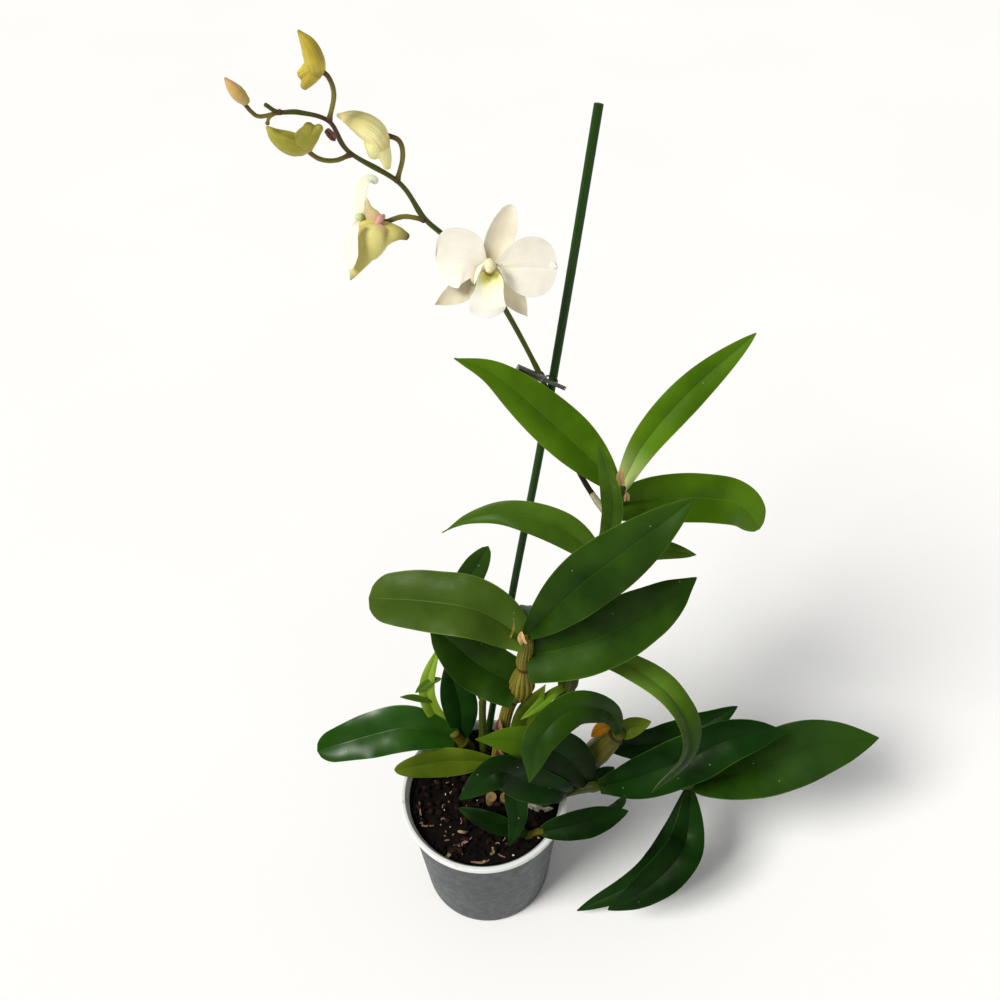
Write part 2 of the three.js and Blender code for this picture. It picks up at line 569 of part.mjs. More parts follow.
// ---------------------------------------------------------------- clip
// A short bar across the stake, with one hole for the stake and one for the spike.
const CLIP_AT = vec([50, 96.5, 408]);
const CLIP_DEPTH = 3;
const clipAlong = vec([-28, -3, 14]).normalize();
const stakeAlong = vec([15, 17, 99]);
const clipUp = stakeAlong.clone().addScaledVector(clipAlong, -stakeAlong.dot(clipAlong)).normalize();
const clipOutline = new THREE.Shape();
clipOutline.moveTo(-6, -2.6).lineTo(-3, -4.4).lineTo(11, -4.4).lineTo(22, -3.2).lineTo(23, -2)
  .lineTo(23, 2).lineTo(22, 3.2).lineTo(11, 4.4).lineTo(-3, 4.4).lineTo(-6, 2.6);
const clipBar = new THREE.ExtrudeGeometry(clipOutline, { depth: CLIP_DEPTH, bevelEnabled: false })
  .translate(0, 0, -CLIP_DEPTH / 2)
  .applyMatrix4(new THREE.Matrix4().makeBasis(clipAlong, clipUp.clone().cross(clipAlong), clipUp))
  .translate(CLIP_AT.x, CLIP_AT.y, CLIP_AT.z);
place('clip', cutClear(solid(clipBar), grown.stake, stem(SPIKE, GAP)), 'clip');

export default part;
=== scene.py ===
"""Looks of a potted dendrobium orchid: nursery pot, dark bark mix, leafy canes, staked flower spike.

Tables are in millimetres and pieces in metres. +Z is up, +Y is the plant's back, and the origin is
the middle of the pot's foot.
"""
import math
import random

import bpy
from mathutils import Matrix, Vector


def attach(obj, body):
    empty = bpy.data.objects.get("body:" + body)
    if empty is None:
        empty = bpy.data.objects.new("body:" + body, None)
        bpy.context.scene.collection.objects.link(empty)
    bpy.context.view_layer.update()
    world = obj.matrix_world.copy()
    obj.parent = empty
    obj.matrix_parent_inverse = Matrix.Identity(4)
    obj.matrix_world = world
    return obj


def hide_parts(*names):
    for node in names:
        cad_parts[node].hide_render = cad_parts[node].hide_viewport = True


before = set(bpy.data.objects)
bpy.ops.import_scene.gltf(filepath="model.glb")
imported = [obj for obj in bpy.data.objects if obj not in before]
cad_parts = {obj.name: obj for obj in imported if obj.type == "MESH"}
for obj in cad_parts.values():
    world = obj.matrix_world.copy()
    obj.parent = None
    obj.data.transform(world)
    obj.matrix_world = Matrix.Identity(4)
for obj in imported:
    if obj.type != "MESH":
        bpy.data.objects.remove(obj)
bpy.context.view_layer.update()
bpy.ops.object.select_all(action="DESELECT")

MM = 0.001
TAU = 2 * math.pi
BACK = Vector((0, 1, 0))

# ---------------------------------------------------------------- sizes
POT_RIM = 60
POT_FOOT = 47.5
POT_SHOULDER = 56
POT_HEIGHT = 112
POT_WALL = 1.6
POT_FLOOR = 2.5
RIM_DEPTH = 5
RIM_LIP = 2.8
RIM_ROUND = 0.6
RIM_FOOT = POT_HEIGHT - RIM_DEPTH
DRAIN_COUNT = 6
DRAIN_RADIUS = 4
DRAIN_CIRCLE = 28
SOIL_TOP = 105.5
STAKE_RADIUS = 2.6
STAKE_RINGS = 34
KNOT = 0.022  # half length of a swollen node, as a share of its stem
STRAND_STEPS = 200  # how finely a line's length is measured

LEAF_THICK = 0.9
PETAL_THICK = 0.55
LEAF_RIPPLE = 0.022  # how far edges ripple, as a share of the blade's width
PETAL_RIPPLE = 0.016
LONG_RIPPLES = 1.7  # ripples along a blade
SHORT_RIPPLES = 4.1
LEAST_HALF_WIDTH = 0.35
EDGE_SHARE = 0.35  # how thick a blade still is at its edge

CAMERA_AT = (17.21, -367.43, 765.61)
CAMERA_DOWN = 44.49  # degrees below the horizon
CAMERA_ROLL = -1.6
ROOM_GLOW = 0.33
BACKDROP_GLOW = 1.0
SUN_FROM = (-0.75, -0.45, 1.0)
SUN_POWER = 3.1
SUN_SOFTNESS = 24  # degrees across


# ---------------------------------------------------------------- camera, light and floor
def add_camera():
    """Looks down on the plant from the front, rolled a little."""
    bpy.ops.object.camera_add(location=Vector(CAMERA_AT) * MM)
    camera = bpy.context.object
    tilt = Matrix.Rotation(math.radians(90 - CAMERA_DOWN), 3, "X")
    roll = Matrix.Rotation(math.radians(CAMERA_ROLL), 3, "Z")
    camera.rotation_euler = (tilt @ roll).to_euler()
    camera.data.lens = 36
    camera.data.sensor_width = 36
    bpy.context.scene.camera = camera


def aim(lamp, at, target):
    """Turns a lamp at one spot towards another."""
    lamp.rotation_euler = (Vector(target) - Vector(at)).to_track_quat("-Z", "Y").to_euler()


def add_studio():
    """A pale floor in a white room, with soft daylight from the upper left."""
    world = bpy.data.worlds.new("white room")
    bpy.context.scene.world = world
    world.use_nodes = True
    nodes = Nodes(world.node_tree)
    glow = nodes.find("BACKGROUND").inputs
    seen = nodes.add("LightPath").outputs["Is Camera Ray"]
    nodes.feed(glow["Strength"], nodes.fade(seen, 0.0, 1.0, ROOM_GLOW, BACKDROP_GLOW))
    glow["Color"].default_value = (1, 1, 1, 1)
    bpy.ops.object.light_add(type="SUN")
    sun = bpy.context.object
    sun.name = "daylight"
    sun.data.energy = SUN_POWER
    sun.data.angle = math.radians(SUN_SOFTNESS)
    sun.data.color = (1, 0.985, 0.96)
    aim(sun, SUN_FROM, (0, 0, 0))
    bpy.context.scene.view_settings.view_transform = "Standard"
    bpy.ops.mesh.primitive_plane_add(size=30, location=(0, 0, -0.2 * MM))
    floor = bpy.context.object
    floor.name = "studio_floor"
    floor.data.materials.append(floor_finish())


# ---------------------------------------------------------------- materials
def tint(code):
    """A linear colour from a six-digit sRGB code."""
    parts = [int(code[i:i + 2], 16) / 255 for i in (0, 2, 4)]
    return tuple(c / 12.92 if c < 0.04045 else ((c + 0.055) / 1.055) ** 2.4 for c in parts) + (1,)


class Nodes:
    """Adds nodes to one tree. A socket given as a value is linked, and anything else is set."""

    def __init__(self, tree):
        self.tree = tree

    def find(self, kind):
        return next(n for n in self.tree.nodes if n.type == kind)

    def feed(self, socket, value):
        if isinstance(value, bpy.types.NodeSocket):
            self.tree.links.new(value, socket)
        else:
            socket.default_value = value

    def add(self, kind, values=None, **settings):
        node = self.tree.nodes.new("ShaderNode" + kind)
        for key, value in settings.items():
            setattr(node, key, value)
        for key, value in (values or {}).items():
            self.feed(node.inputs[key], value)
        return node

    def math(self, operation, a, b=0.0):
        return self.add("Math", {0: a, 1: b}, operation=operation).outputs[0]

    def fade(self, value, start, end, low=0.0, high=1.0):
        """Goes smoothly from low at start to high at end."""
        values = {"Value": value, "From Min": start, "From Max": end, "To Min": low, "To Max": high}
        return self.add("MapRange", values, interpolation_type="SMOOTHSTEP").outputs[0]

    def mix(self, share, a, b):
        return self.add("Mix", {0: share, 6: a, 7: b}, data_type="RGBA").outputs[2]

    def lay(self, colour, code, mask, strength=None):
        """Lays a colour code over a colour where the mask is, at a strength."""
        share = mask if strength is None else self.math("MULTIPLY", mask, strength)
        return self.mix(share, colour, tint(code))

    def noise(self, scale, detail=3.0, at=None, rough=0.5):
        at = at or self.place("Object")
        values = {"Vector": at, "Scale": scale, "Detail": detail, "Roughness": rough}
        return self.add("TexNoise", values).outputs[0]

    def place(self, kind):
        return self.add("TexCoord").outputs[kind]

    def group(self, name, **values):
        node = self.add("Group")
        node.node_tree = bpy.data.node_groups[name]
        for key, value in values.items():
            self.feed(node.inputs[key], value)
        return node.outputs


def new_group(name, inputs, outputs):
    """A shader node group of number sockets, as its nodes, what it is given and what it puts out."""
    tree = bpy.data.node_groups.new(name, "ShaderNodeTree")
    for label, value in inputs.items():
        socket = tree.interface.new_socket(name=label, in_out="INPUT", socket_type="NodeSocketFloat")
        socket.default_value = value
    for label in outputs:
        tree.interface.new_socket(name=label, in_out="OUTPUT", socket_type="NodeSocketFloat")
    given = tree.nodes.new("NodeGroupInput").outputs
    made = tree.nodes.new("NodeGroupOutput").inputs
    return Nodes(tree), given, made


def make_groups():
    """The patterns that the finishes share."""
    # patches at two scales, in the object's own space
    nodes, given, made = new_group("mottle", {"Scale": 40.0}, ["Broad", "Fine"])
    nodes.feed(made["Broad"], nodes.fade(nodes.noise(given["Scale"], 3.0), 0.32, 0.68))
    fine_scale = nodes.math("MULTIPLY", given["Scale"], 9.0)
    nodes.feed(made["Fine"], nodes.noise(fine_scale, 4.0, rough=0.6))

    # what runs along a leaf or petal: its midrib, its veins, its margin, the way from root to tip
    nodes, given, made = new_group(
        "leaf lines", {"Veins": 11.0, "Rib width": 0.05, "Margin": 0.05},
        ["Vein", "Rib", "Margin", "Along"])
    split = nodes.add("SeparateXYZ", {0: nodes.place("UV")}).outputs
    wander = nodes.fade(nodes.noise(60.0, 2.0), 0.0, 1.0, -0.025, 0.025)
    from_rib = nodes.math("SUBTRACT", split["X"], 0.5)
    turns = nodes.math("MULTIPLY", nodes.math("ADD", from_rib, wander), given["Veins"])
    wave = nodes.math("COSINE", nodes.math("MULTIPLY", turns, TAU))
    nodes.feed(made["Vein"], nodes.fade(wave, 0.35, 1.0))
    reach = nodes.math("MULTIPLY", nodes.math("ABSOLUTE", from_rib), 2.0)
    nodes.feed(made["Rib"], nodes.fade(reach, given["Rib width"], 0.0))
    nodes.feed(made["Margin"], nodes.fade(reach, nodes.math("SUBTRACT", 1.0, given["Margin"]), 1.0))
    nodes.feed(made["Along"], split["Y"])

    # streaks that run along a stem, and how far along it they are
    nodes, given, made = new_group(
        "stem fibres", {"Round": 30.0, "Length": 5.0}, ["Streak", "Line", "Along", "Angle"])
    split = nodes.add("SeparateXYZ", {0: nodes.place("UV")}).outputs
    angle = nodes.math("MULTIPLY", split["X"], TAU)
    round_x = nodes.math("MULTIPLY", nodes.math("COSINE", angle), given["Round"])
    round_y = nodes.math("MULTIPLY", nodes.math("SINE", angle), given["Round"])
    length = nodes.math("MULTIPLY", split["Y"], given["Length"])
    spot = nodes.add("CombineXYZ", {"X": round_x, "Y": round_y, "Z": length}).outputs[0]
    streak = nodes.noise(0.16, 4.0, at=spot, rough=0.65)
    nodes.feed(made["Streak"], nodes.fade(streak, 0.3, 0.7))
    nodes.feed(made["Line"], nodes.fade(nodes.noise(0.3, 2.0, at=spot), 0.56, 0.62))
    nodes.feed(made["Along"], split["Y"])
    nodes.feed(made["Angle"], angle)

    # scattered specks of dirt
    nodes, given, made = new_group("specks", {"Scale": 300.0, "Share": 0.05, "Size": 0.3}, ["Speck"])
    values = {"Vector": nodes.place("Object"), "Scale": given["Scale"], "Randomness": 1.0}
    cells = nodes.add("TexVoronoi", values).outputs
    chosen = nodes.add("SeparateXYZ", {0: cells["Color"]}).outputs["X"]
    few = nodes.math("LESS_THAN", chosen, given["Share"])
    dot = nodes.fade(cells["Distance"], given["Size"], nodes.math("MULTIPLY", given["Size"], 0.6))
    nodes.feed(made["Speck"], nodes.math("MULTIPLY", few, dot))


def new_finish(name, roughness, **sockets):
    """A material, its nodes and its shader. What is the same all over is set on the shader here."""
    material = bpy.data.materials.new(name)
    material.use_nodes = True
    nodes = Nodes(material.node_tree)
    shader = nodes.find("BSDF_PRINCIPLED")
    shader.inputs["Roughness"].default_value = roughness
    for label, value in sockets.items():
        shader.inputs[label.replace("_", " ")].default_value = value
    return material, nodes, shader.inputs


def rough_up(nodes, shader, height, strength, depth):
    """Feeds a height, in shares of depth millimetres, to the shader's normal."""
    values = {"Strength": strength, "Distance": depth * MM, "Height": height}
    nodes.feed(shader["Normal"], nodes.add("Bump", values).outputs[0])


def floor_finish():
    """Almost white, with a faint grain."""
    material, nodes, shader = new_finish("pale floor", 0.9)
    grain = nodes.noise(3.0, 2.0)
    nodes.feed(shader["Base Color"], nodes.mix(grain, tint("f6f6f5"), tint("fbfbfa")))
    return material


def leaf_finish(name, deep, lit, rib="6d8c30", edge="7f9a3a", root="5d7a2a", gloss=0.42, end=None,
                root_reach=0.1, turn=(0.35, 0.75), shine=(0.0, 1.0, 0.1)):
    """Deep green with paler patches, a thin midrib and a fine bright margin.

    end is the colour that it turns to, and turn is where along the leaf that starts and is done.
    shine is where along the leaf its waxy coat starts and stops, and how strong the coat is.
    """
    material, nodes, shader = new_finish(name, gloss, Specular_IOR_Level=0.05, Coat_Roughness=0.3)
    shader["Specular Tint"].default_value = (0.8, 1.0, 0.5, 1.0)
    lines = nodes.group("leaf lines", Veins=21.0, Margin=0.035, **{"Rib width": 0.035})
    patches = nodes.group("mottle", Scale=22.0)
    dust = nodes.group("specks", Scale=420.0, Share=0.006, Size=0.24)["Speck"]
    colour = nodes.mix(patches["Broad"], tint(deep), tint(lit))
    colour = nodes.lay(colour, lit, nodes.fade(lines["Along"], 0.7, 1.0, 0.0, 0.5))
    if end:
        colour = nodes.lay(colour, end, nodes.fade(lines["Along"], turn[0], turn[1], 0.0, 0.9))
    colour = nodes.lay(colour, rib, lines["Vein"], 0.035)
    colour = nodes.lay(colour, rib, lines["Rib"], 0.4)
    colour = nodes.lay(colour, root, nodes.fade(lines["Along"], root_reach, 0.0, 0.0, 0.8))
    colour = nodes.lay(colour, edge, lines["Margin"], nodes.fade(patches["Broad"], 0.0, 1.0, 0.1, 0.55))
    colour = nodes.lay(colour, "a8a884", dust, 0.5)
    nodes.feed(shader["Base Color"], colour)
    start, stop, strength = shine
    waxy = nodes.math("MULTIPLY", nodes.fade(lines["Along"], start - 0.08, start + 0.08),
                      nodes.fade(lines["Along"], stop + 0.1, stop - 0.1))
    patchy = nodes.fade(nodes.noise(14.0, 3.0, rough=0.6), 0.4, 0.62, 0.02, strength)
    nodes.feed(shader["Coat Weight"], nodes.math("MULTIPLY", waxy, patchy))
    nodes.feed(shader["Roughness"], nodes.fade(patches["Fine"], 0.3, 0.7, gloss - 0.08, gloss + 0.12))
    veins = nodes.math("MULTIPLY", lines["Vein"], 0.14)
    height = nodes.math("ADD", veins, nodes.math("MULTIPLY", patches["Fine"], 0.8))
    height = nodes.math("SUBTRACT", height, lines["Rib"])
    rough_up(nodes, shader, height, 0.4, 0.3)
    return material


def underside_finish():
    """The duller lower face that all the leaves share."""
    material, nodes, shader = new_finish("leaf underside", 0.5, Specular_IOR_Level=0.06)
    lines = nodes.group("leaf lines", Veins=13.0)
    patches = nodes.group("mottle", Scale=25.0)
    colour = nodes.mix(patches["Broad"], tint("2c4712"), tint("3f5c1c"))
    colour = nodes.lay(colour, "557030", lines["Vein"], 0.25)
    colour = nodes.lay(colour, "6f8640", lines["Rib"], 0.6)
    nodes.feed(shader["Base Color"], colour)
    rough_up(nodes, shader, nodes.math("ADD", lines["Rib"], lines["Vein"]), 0.4, 0.25)
    return material


def petal_finish(name, white, shade, throat, throat_end, tip=None, glow=0.35):
    """Soft white with faint veins, turning to the throat colour at its root and to tip at its end."""
    material, nodes, shader = new_finish(
        name, 0.55, Specular_IOR_Level=0.3, Sheen_Weight=0.1,
        Subsurface_Weight=glow, Subsurface_Scale=1.5 * MM)
    shader["Subsurface Radius"].default_value = (1.0, 0.95, 0.75)
    lines = nodes.group("leaf lines", Veins=9.0)
    patches = nodes.group("mottle", Scale=70.0)
    colour = nodes.lay(tint(white), shade, patches["Broad"], 0.45)
    colour = nodes.lay(colour, shade, lines["Vein"], 0.08)
    colour = nodes.lay(colour, shade, lines["Rib"], 0.5)
    colour = nodes.lay(colour, throat, nodes.fade(lines["Along"], throat_end, 0.0, 0.0, 0.9))
    if tip:
        colour = nodes.lay(colour, tip, nodes.fade(lines["Along"], 0.8, 1.0, 0.0, 0.8))
    nodes.feed(shader["Base Color"], colour)
    veins = nodes.math("MULTIPLY", lines["Vein"], 0.3)
    height = nodes.math("ADD", veins, nodes.math("MULTIPLY", patches["Fine"], 0.8))
    rough_up(nodes, shader, height, 0.3, 0.3)
    return material


def stem_finish(name, base, streak, line, roughness=0.45, round_=30.0, length=6.0, tip=None, foot=None,
                lines=0.5, knots=(), knot="3a2a14", grooves=None):
    """Lengthwise streaks and darker lines.

    round_ and length are how fine the streaks are round the stem and along it, and lines is how
    strong the darker ones are. tip and foot are what it turns to at its two ends, knots are where
    dark rings go round it, and grooves are the count and turns of its dark grooves.
    """
    material, nodes, shader = new_finish(name, roughness, Specular_IOR_Level=0.14)
    fibres = nodes.group("stem fibres", Round=round_, Length=length)
    patches = nodes.group("mottle", Scale=60.0)
    colour = nodes.mix(fibres["Streak"], tint(base), tint(streak))
    if tip:
        turned = nodes.fade(fibres["Along"], 0.45, 0.9)
        colour = nodes.lay(colour, tip, turned, nodes.fade(patches["Broad"], 0.0, 1.0, 0.6, 1.0))
    if foot:
        colour = nodes.lay(colour, foot, nodes.fade(fibres["Along"], 0.3, 0.05))
    for place, reach in knots:
        away = nodes.math("ABSOLUTE", nodes.math("SUBTRACT", fibres["Along"], place))
        colour = nodes.lay(colour, knot, nodes.fade(away, reach, reach * 0.3, 0.0, 0.9))
    if grooves:
        count, turns = grooves
        turned = nodes.math("MULTIPLY", fibres["Along"], turns * TAU)
        turned = nodes.math("ADD", nodes.math("MULTIPLY", fibres["Angle"], count), turned)
        dark = nodes.fade(nodes.math("COSINE", turned), -0.82, -0.97, 0.0, 0.85)
        colour = nodes.lay(colour, line, dark)
    colour = nodes.lay(colour, line, fibres["Line"], lines)
    nodes.feed(shader["Base Color"], colour)
    height = nodes.math("ADD", fibres["Streak"], nodes.math("MULTIPLY", patches["Fine"], 0.6))
    rough_up(nodes, shader, height, 0.5, 0.35)
    return material


def bud_finish(name, base, lit, shade, tip, root):
    """Satin and a little translucent, with shaded patches, dark streaks and a coloured tip and root."""
    material, nodes, shader = new_finish(
        name, 0.42, Specular_IOR_Level=0.3, Subsurface_Weight=0.15, Subsurface_Scale=1.0 * MM)
    fibres = nodes.group("stem fibres", Round=26.0, Length=3.0)
    patches = nodes.group("mottle", Scale=80.0)
    colour = nodes.mix(fibres["Streak"], tint(base), tint(lit))
    colour = nodes.lay(colour, shade, patches["Broad"], 0.55)
    colour = nodes.lay(colour, "9a7040", fibres["Line"], 0.35)
    colour = nodes.lay(colour, tip, nodes.fade(fibres["Along"], 0.84, 1.0, 0.0, 0.85))
    colour = nodes.lay(colour, root, nodes.fade(fibres["Along"], 0.16, 0.0, 0.0, 0.6))
    nodes.feed(shader["Base Color"], colour)
    rough_up(nodes, shader, fibres["Streak"], 0.4, 0.3)
    return material


def pot_finish():
    """Dark grey below and near-white on the rim, which is smeared and specked with dirt."""
    material, nodes, shader = new_finish("grey moulded plastic", 0.45, Specular_IOR_Level=0.2)
    at = nodes.place("Object")
    height = nodes.add("SeparateXYZ", {0: at}).outputs["Z"]
    patches = nodes.group("mottle", Scale=18.0)
    rim = nodes.fade(height, (RIM_FOOT - 0.6) * MM, RIM_FOOT * MM)
    smear = nodes.fade(nodes.noise(55.0, 5.0, rough=0.7), 0.54, 0.72)
    dirt = nodes.group("specks", Scale=105.0, Share=0.05, Size=0.11)["Speck"]
    crumbs = nodes.group("specks", Scale=340.0, Share=0.02, Size=0.25)["Speck"]
    colour = nodes.lay(tint("3e4345"), "464b4d", patches["Broad"], 0.5)
    colour = nodes.lay(colour, "e4e5e1", rim)
    colour = nodes.lay(colour, "8a8070", smear, nodes.fade(rim, 0.0, 1.0, 0.05, 0.5))
    colour = nodes.lay(colour, "2a211a", nodes.math("MAXIMUM", dirt, crumbs))
    nodes.feed(shader["Base Color"], colour)
    nodes.feed(shader["Roughness"], nodes.fade(patches["Fine"], 0.3, 0.7, 0.36, 0.5))
    rough_up(nodes, shader, nodes.math("ADD", patches["Fine"], dirt), 0.2, 0.2)
    return material


def crumb_finish(name, dark, light, roughness, depth):
    """Rough crumbly stuff, such as bark, peat or perlite."""
    material, nodes, shader = new_finish(name, roughness, Specular_IOR_Level=0.12)
    patches = nodes.group("mottle", Scale=190.0)
    colour = nodes.mix(patches["Broad"], tint(dark), tint(light))
    colour = nodes.lay(colour, light, nodes.fade(patches["Fine"], 0.55, 0.75, 0.0, 0.6))
    nodes.feed(shader["Base Color"], colour)
    rough_up(nodes, shader, patches["Fine"], 0.9, depth)
    return material


def stake_finish():
    """A satin coat, streaked and lightly scuffed."""
    material, nodes, shader = new_finish("dark green coating", 0.34, Specular_IOR_Level=0.14)
    fibres = nodes.group("stem fibres", Round=30.0, Length=30.0)
    patches = nodes.group("mottle", Scale=90.0)
    colour = nodes.mix(fibres["Streak"], tint("122c06"), tint("26470c"))
    colour = nodes.lay(colour, "4a6232", nodes.fade(patches["Fine"], 0.62, 0.8), 0.35)
    nodes.feed(shader["Base Color"], colour)
    rough_up(nodes, shader, nodes.math("ADD", fibres["Streak"], patches["Fine"]), 0.35, 0.25)
    return material


def clip_finish():
    """Satin moulded plastic, worn paler in small patches."""
    material, nodes, shader = new_finish("grey clip plastic", 0.38, Specular_IOR_Level=0.35)
    patches = nodes.group("mottle", Scale=150.0)
    colour = nodes.mix(patches["Broad"], tint("484945"), tint("66665f"))
    colour = nodes.lay(colour, "8a8a82", nodes.fade(patches["Fine"], 0.58, 0.75), 0.5)
    nodes.feed(shader["Base Color"], colour)
    rough_up(nodes, shader, patches["Fine"], 0.3, 0.2)
    return material


LEAF_LOOKS = {  # name, colour in the shade, colour in the light, and what else sets it apart
    # Painted shade: the next two are darker copies of the leaf green for leaves low in the crown, where
    # shade falls on them; the low leaf turns lighter green towards its tip.
    "leaf_dark": ("leaf in painted shade", "051803", "13330a", dict(
        rib="2c4a12", edge="56742a", root="24380c", shine=(0.0, 1.0, 0.04))),
    "leaf_base": ("low leaf in painted shade", "061603", "102a06", dict(
        rib="24440e", edge="6f8e2c", root="061603", end="4c6c10", turn=(0.5, 0.78),
        shine=(0.0, 1.0, 0.03))),
    # Painted shadow: the far leaf stays dark up to a third of its length, where a shadow lies across it,
    # then turns lighter green towards its tip.
    "leaf_far": ("far leaf with painted shadow", "0c2404", "244209", dict(
        rib="2f4c14", edge="6f8a34", root="24400c", end="2c4c12", turn=(0.3, 1.0),
        shine=(0.3, 0.85, 0.35))),
    "leaf_streaked": ("streaked leaf", "12380a", "27500f", dict(
        rib="5c7c30", root="1c4008", end="1c4206", shine=(0.3, 0.9, 0.9))),
    "leaf_deep": ("deep leaf", "162e03", "2a470b", dict(rib="46661e", edge="64802c", root="2a4610")),
    # Painted sheen: the front leaf's root is painted a lighter green, fading out a third of the way
    # along, for the sheen on it.
    "leaf_front": ("front leaf with painted sheen", "324912", "43591c", dict(root="64842c", root_reach=0.35)),
    "leaf_mid": ("green leaf", "2e4a0b", "466418", dict(root="2f4a10")),
    "leaf_olive": ("olive leaf", "44560c", "5f711a", dict(root="3a3d10", gloss=0.36)),
    "leaf_arch": ("arching leaf", "4a6a16", "62842a", dict(rib="6f8e34", end="0c2a06")),
    "leaf_fresh": ("fresh leaf", "395a05", "52770f", dict(rib="7c9c34", root="4c6c1c")),
    "leaf_pale_root": ("leaf with a pale root", "395a05", "52770f", dict(
        rib="86a53c", root="cfe08c", root_reach=0.3)),
    "leaf_light": ("light leaf", "587d10", "82a02e", dict(rib="a3bc58", root="c9d68a")),
    "leaf_orange": ("ripe leaf", "3a4a08", "465a10", dict(
        rib="8a7a2c", edge="8a8028", root="3c4608", end="a0640c")),
}
STEM_LOOKS = {  # name, colour, colour of the streaks, colour of the lines, and what else sets it apart
    "cane": ("green cane", "2f3c0d", "4a561a", "241f0c", dict(lines=0.6)),
    "old_cane": ("old ribbed cane", "69631a", "847b2c", "35230e", dict(
        roughness=0.5, round_=22.0, length=4.0, grooves=(14, 5),
        knots=[(0.35, 0.012), (0.6, 0.016), (0.798, 0.02)], knot="4a2a10")),
    "bulb": ("young bulb", "46460e", "626018", "3a2f0c", dict(
        roughness=0.4, lines=0.35, foot="1e2807",
        knots=[(0.36, 0.012), (0.66, 0.012), (0.94, 0.02)], knot="2c2408")),
    "husk": ("dry husk", "dba862", "f6dca6", "8a5a2a", dict(roughness=0.8, round_=40.0, length=5.0)),
    "husk_red": ("reddish husk", "8a5f45", "ab8466", "5e4426", dict(
        roughness=0.8, round_=40.0, length=5.0)),
    "spike": ("spike skin", "3d4e0d", "57691c", "2a320e", dict(
        roughness=0.4, tip="5a5a22", lines=0.4, knots=[(0.875, 0.05)], knot="5a3c34")),
    # Painted shadow: a near-black look for the stretch of the spike's foot that lies in shadow.
    "spike_painted_shadow": ("painted shadow on the spike's foot", "14100a", "2a2416", "0a0806", dict(roughness=0.5)),
    "spike_sheath": ("pale spike sheath", "8a8566", "bdb796", "3e3c30", dict(
        roughness=0.7, round_=40.0, length=8.0)),
    "stalk": ("flower stalk skin", "77752c", "948a3e", "4d3a26", dict(
        roughness=0.42, tip="5f3a2e", foot="50302c")),
    "bract": ("withered bract", "6a4a44", "927068", "3e2a28", dict(roughness=0.8)),
}
BUD_LOOKS = {  # name, colour in the shade, colour in the light, then its patches, tip and root
    "bud": ("yellow bud", "c7ae28", "ecda62", "93841a", "a8783c", "857c1e"),
    "bud_green": ("green-bellied bud", "a9a52e", "d2c75a", "767a14", "b98f58", "b5b03e"),
    "bud_pale": ("pale bud", "f8ee9a", "fffccc", "ecdc72", "c98d74", "c8b848"),
    "bud_tan": ("tan bud", "cfa566", "ddb87a", "b8a83c", "b98a5c", "93b81c"),
}
PETAL_LOOKS = {  # name, colour, shade, throat, how far the throat reaches, and what else sets it apart
    "petal": ("white petal", "f4eee0", "e4dcc6", "d2cba4", 0.22, {}),
    "sepal": ("cream sepal", "e6ddc6", "cfc4a4", "b8b088", 0.3, {}),
    # Painted shade: a darker copy of the cream sepal, darkest at its root, where a petal's shadow falls;
    # the lower left sepal and the sheet beside the left lobe wear it.
    "sepal_in_painted_shade": ("sepal in painted shade", "d2cab2", "ada485", "8c8660", 0.5, dict(tip="9a8c5c")),
    "petal_green": ("greenish petal", "e6e8d0", "cfd4b0", "e0b878", 0.4, {}),
    "mentum": ("yellow-green spur", "d8cc72", "b0a446", "d9a28c", 0.2, dict(tip="9a7a3c", glow=0.15)),
    "outer_sepal": ("inner side of sepal", "f3f0da", "dcd9b4", "d8cc72", 0.4, {}),
    # Painted shade: the funnel's spur end is painted dark olive, fading out towards its mouth, for the
    # shade on its lower side.
    "funnel": ("yellow-green funnel with painted shade on its spur", "e9de84", "c4b650", "574c18", 0.42, dict(glow=0.12)),
    "fin": ("peach side of sepal", "dcc890", "c4aa7a", "e2a284", 0.5, dict(glow=0.15)),
    "shaded_fin": ("shaded side of sepal", "bdb67c", "98905a", "a89c58", 0.3, dict(
        tip="8a866a", glow=0.1)),
    "joint": ("pink joint", "eab4aa", "cc8c88", "ecc4a4", 0.4, dict(glow=0.2)),
    "lip": ("lip", "fbf8ea", "f3efcc", "faf584", 0.66, {}),
    "lobe": ("lip side lobe", "fbf6df", "f0e8bc", "a39c4c", 0.5, {}),
    "column": ("column", "d6cc92", "b5a962", "7c7430", 0.6, dict(glow=0.15)),
    "column_green": ("green column", "dbe3b0", "c2cf8c", "a8b860", 0.5, dict(glow=0.2)),
    "anther": ("anther cap", "f6ecc8", "e4d6a0", "c9bb78", 0.4, {}),
}
CRUMB_LOOKS = {  # name, dark colour, light colour, roughness, depth of its grain
    "soil": ("dark mix", "060403", "140c08", 0.9, 0.6),
    "bark": ("bark", "130a06", "2c1b11", 0.9, 0.6),
    "chip": ("pale chip", "6b5a3a", "a89468", 0.85, 0.4),
    "paper": ("papery scrap", "7c7868", "aba695", 0.85, 0.4),
    "perlite": ("perlite", "b0aea4", "e3e1d8", 0.85, 0.4),
    "fibre": ("root fibre", "5e463a", "8e7060", 0.8, 0.3),
    "thread": ("brown thread", "6c5424", "9a8444", 0.8, 0.2),
    "stub": ("cut old cane", "5d4830", "967a4e", 0.85, 0.4),
}


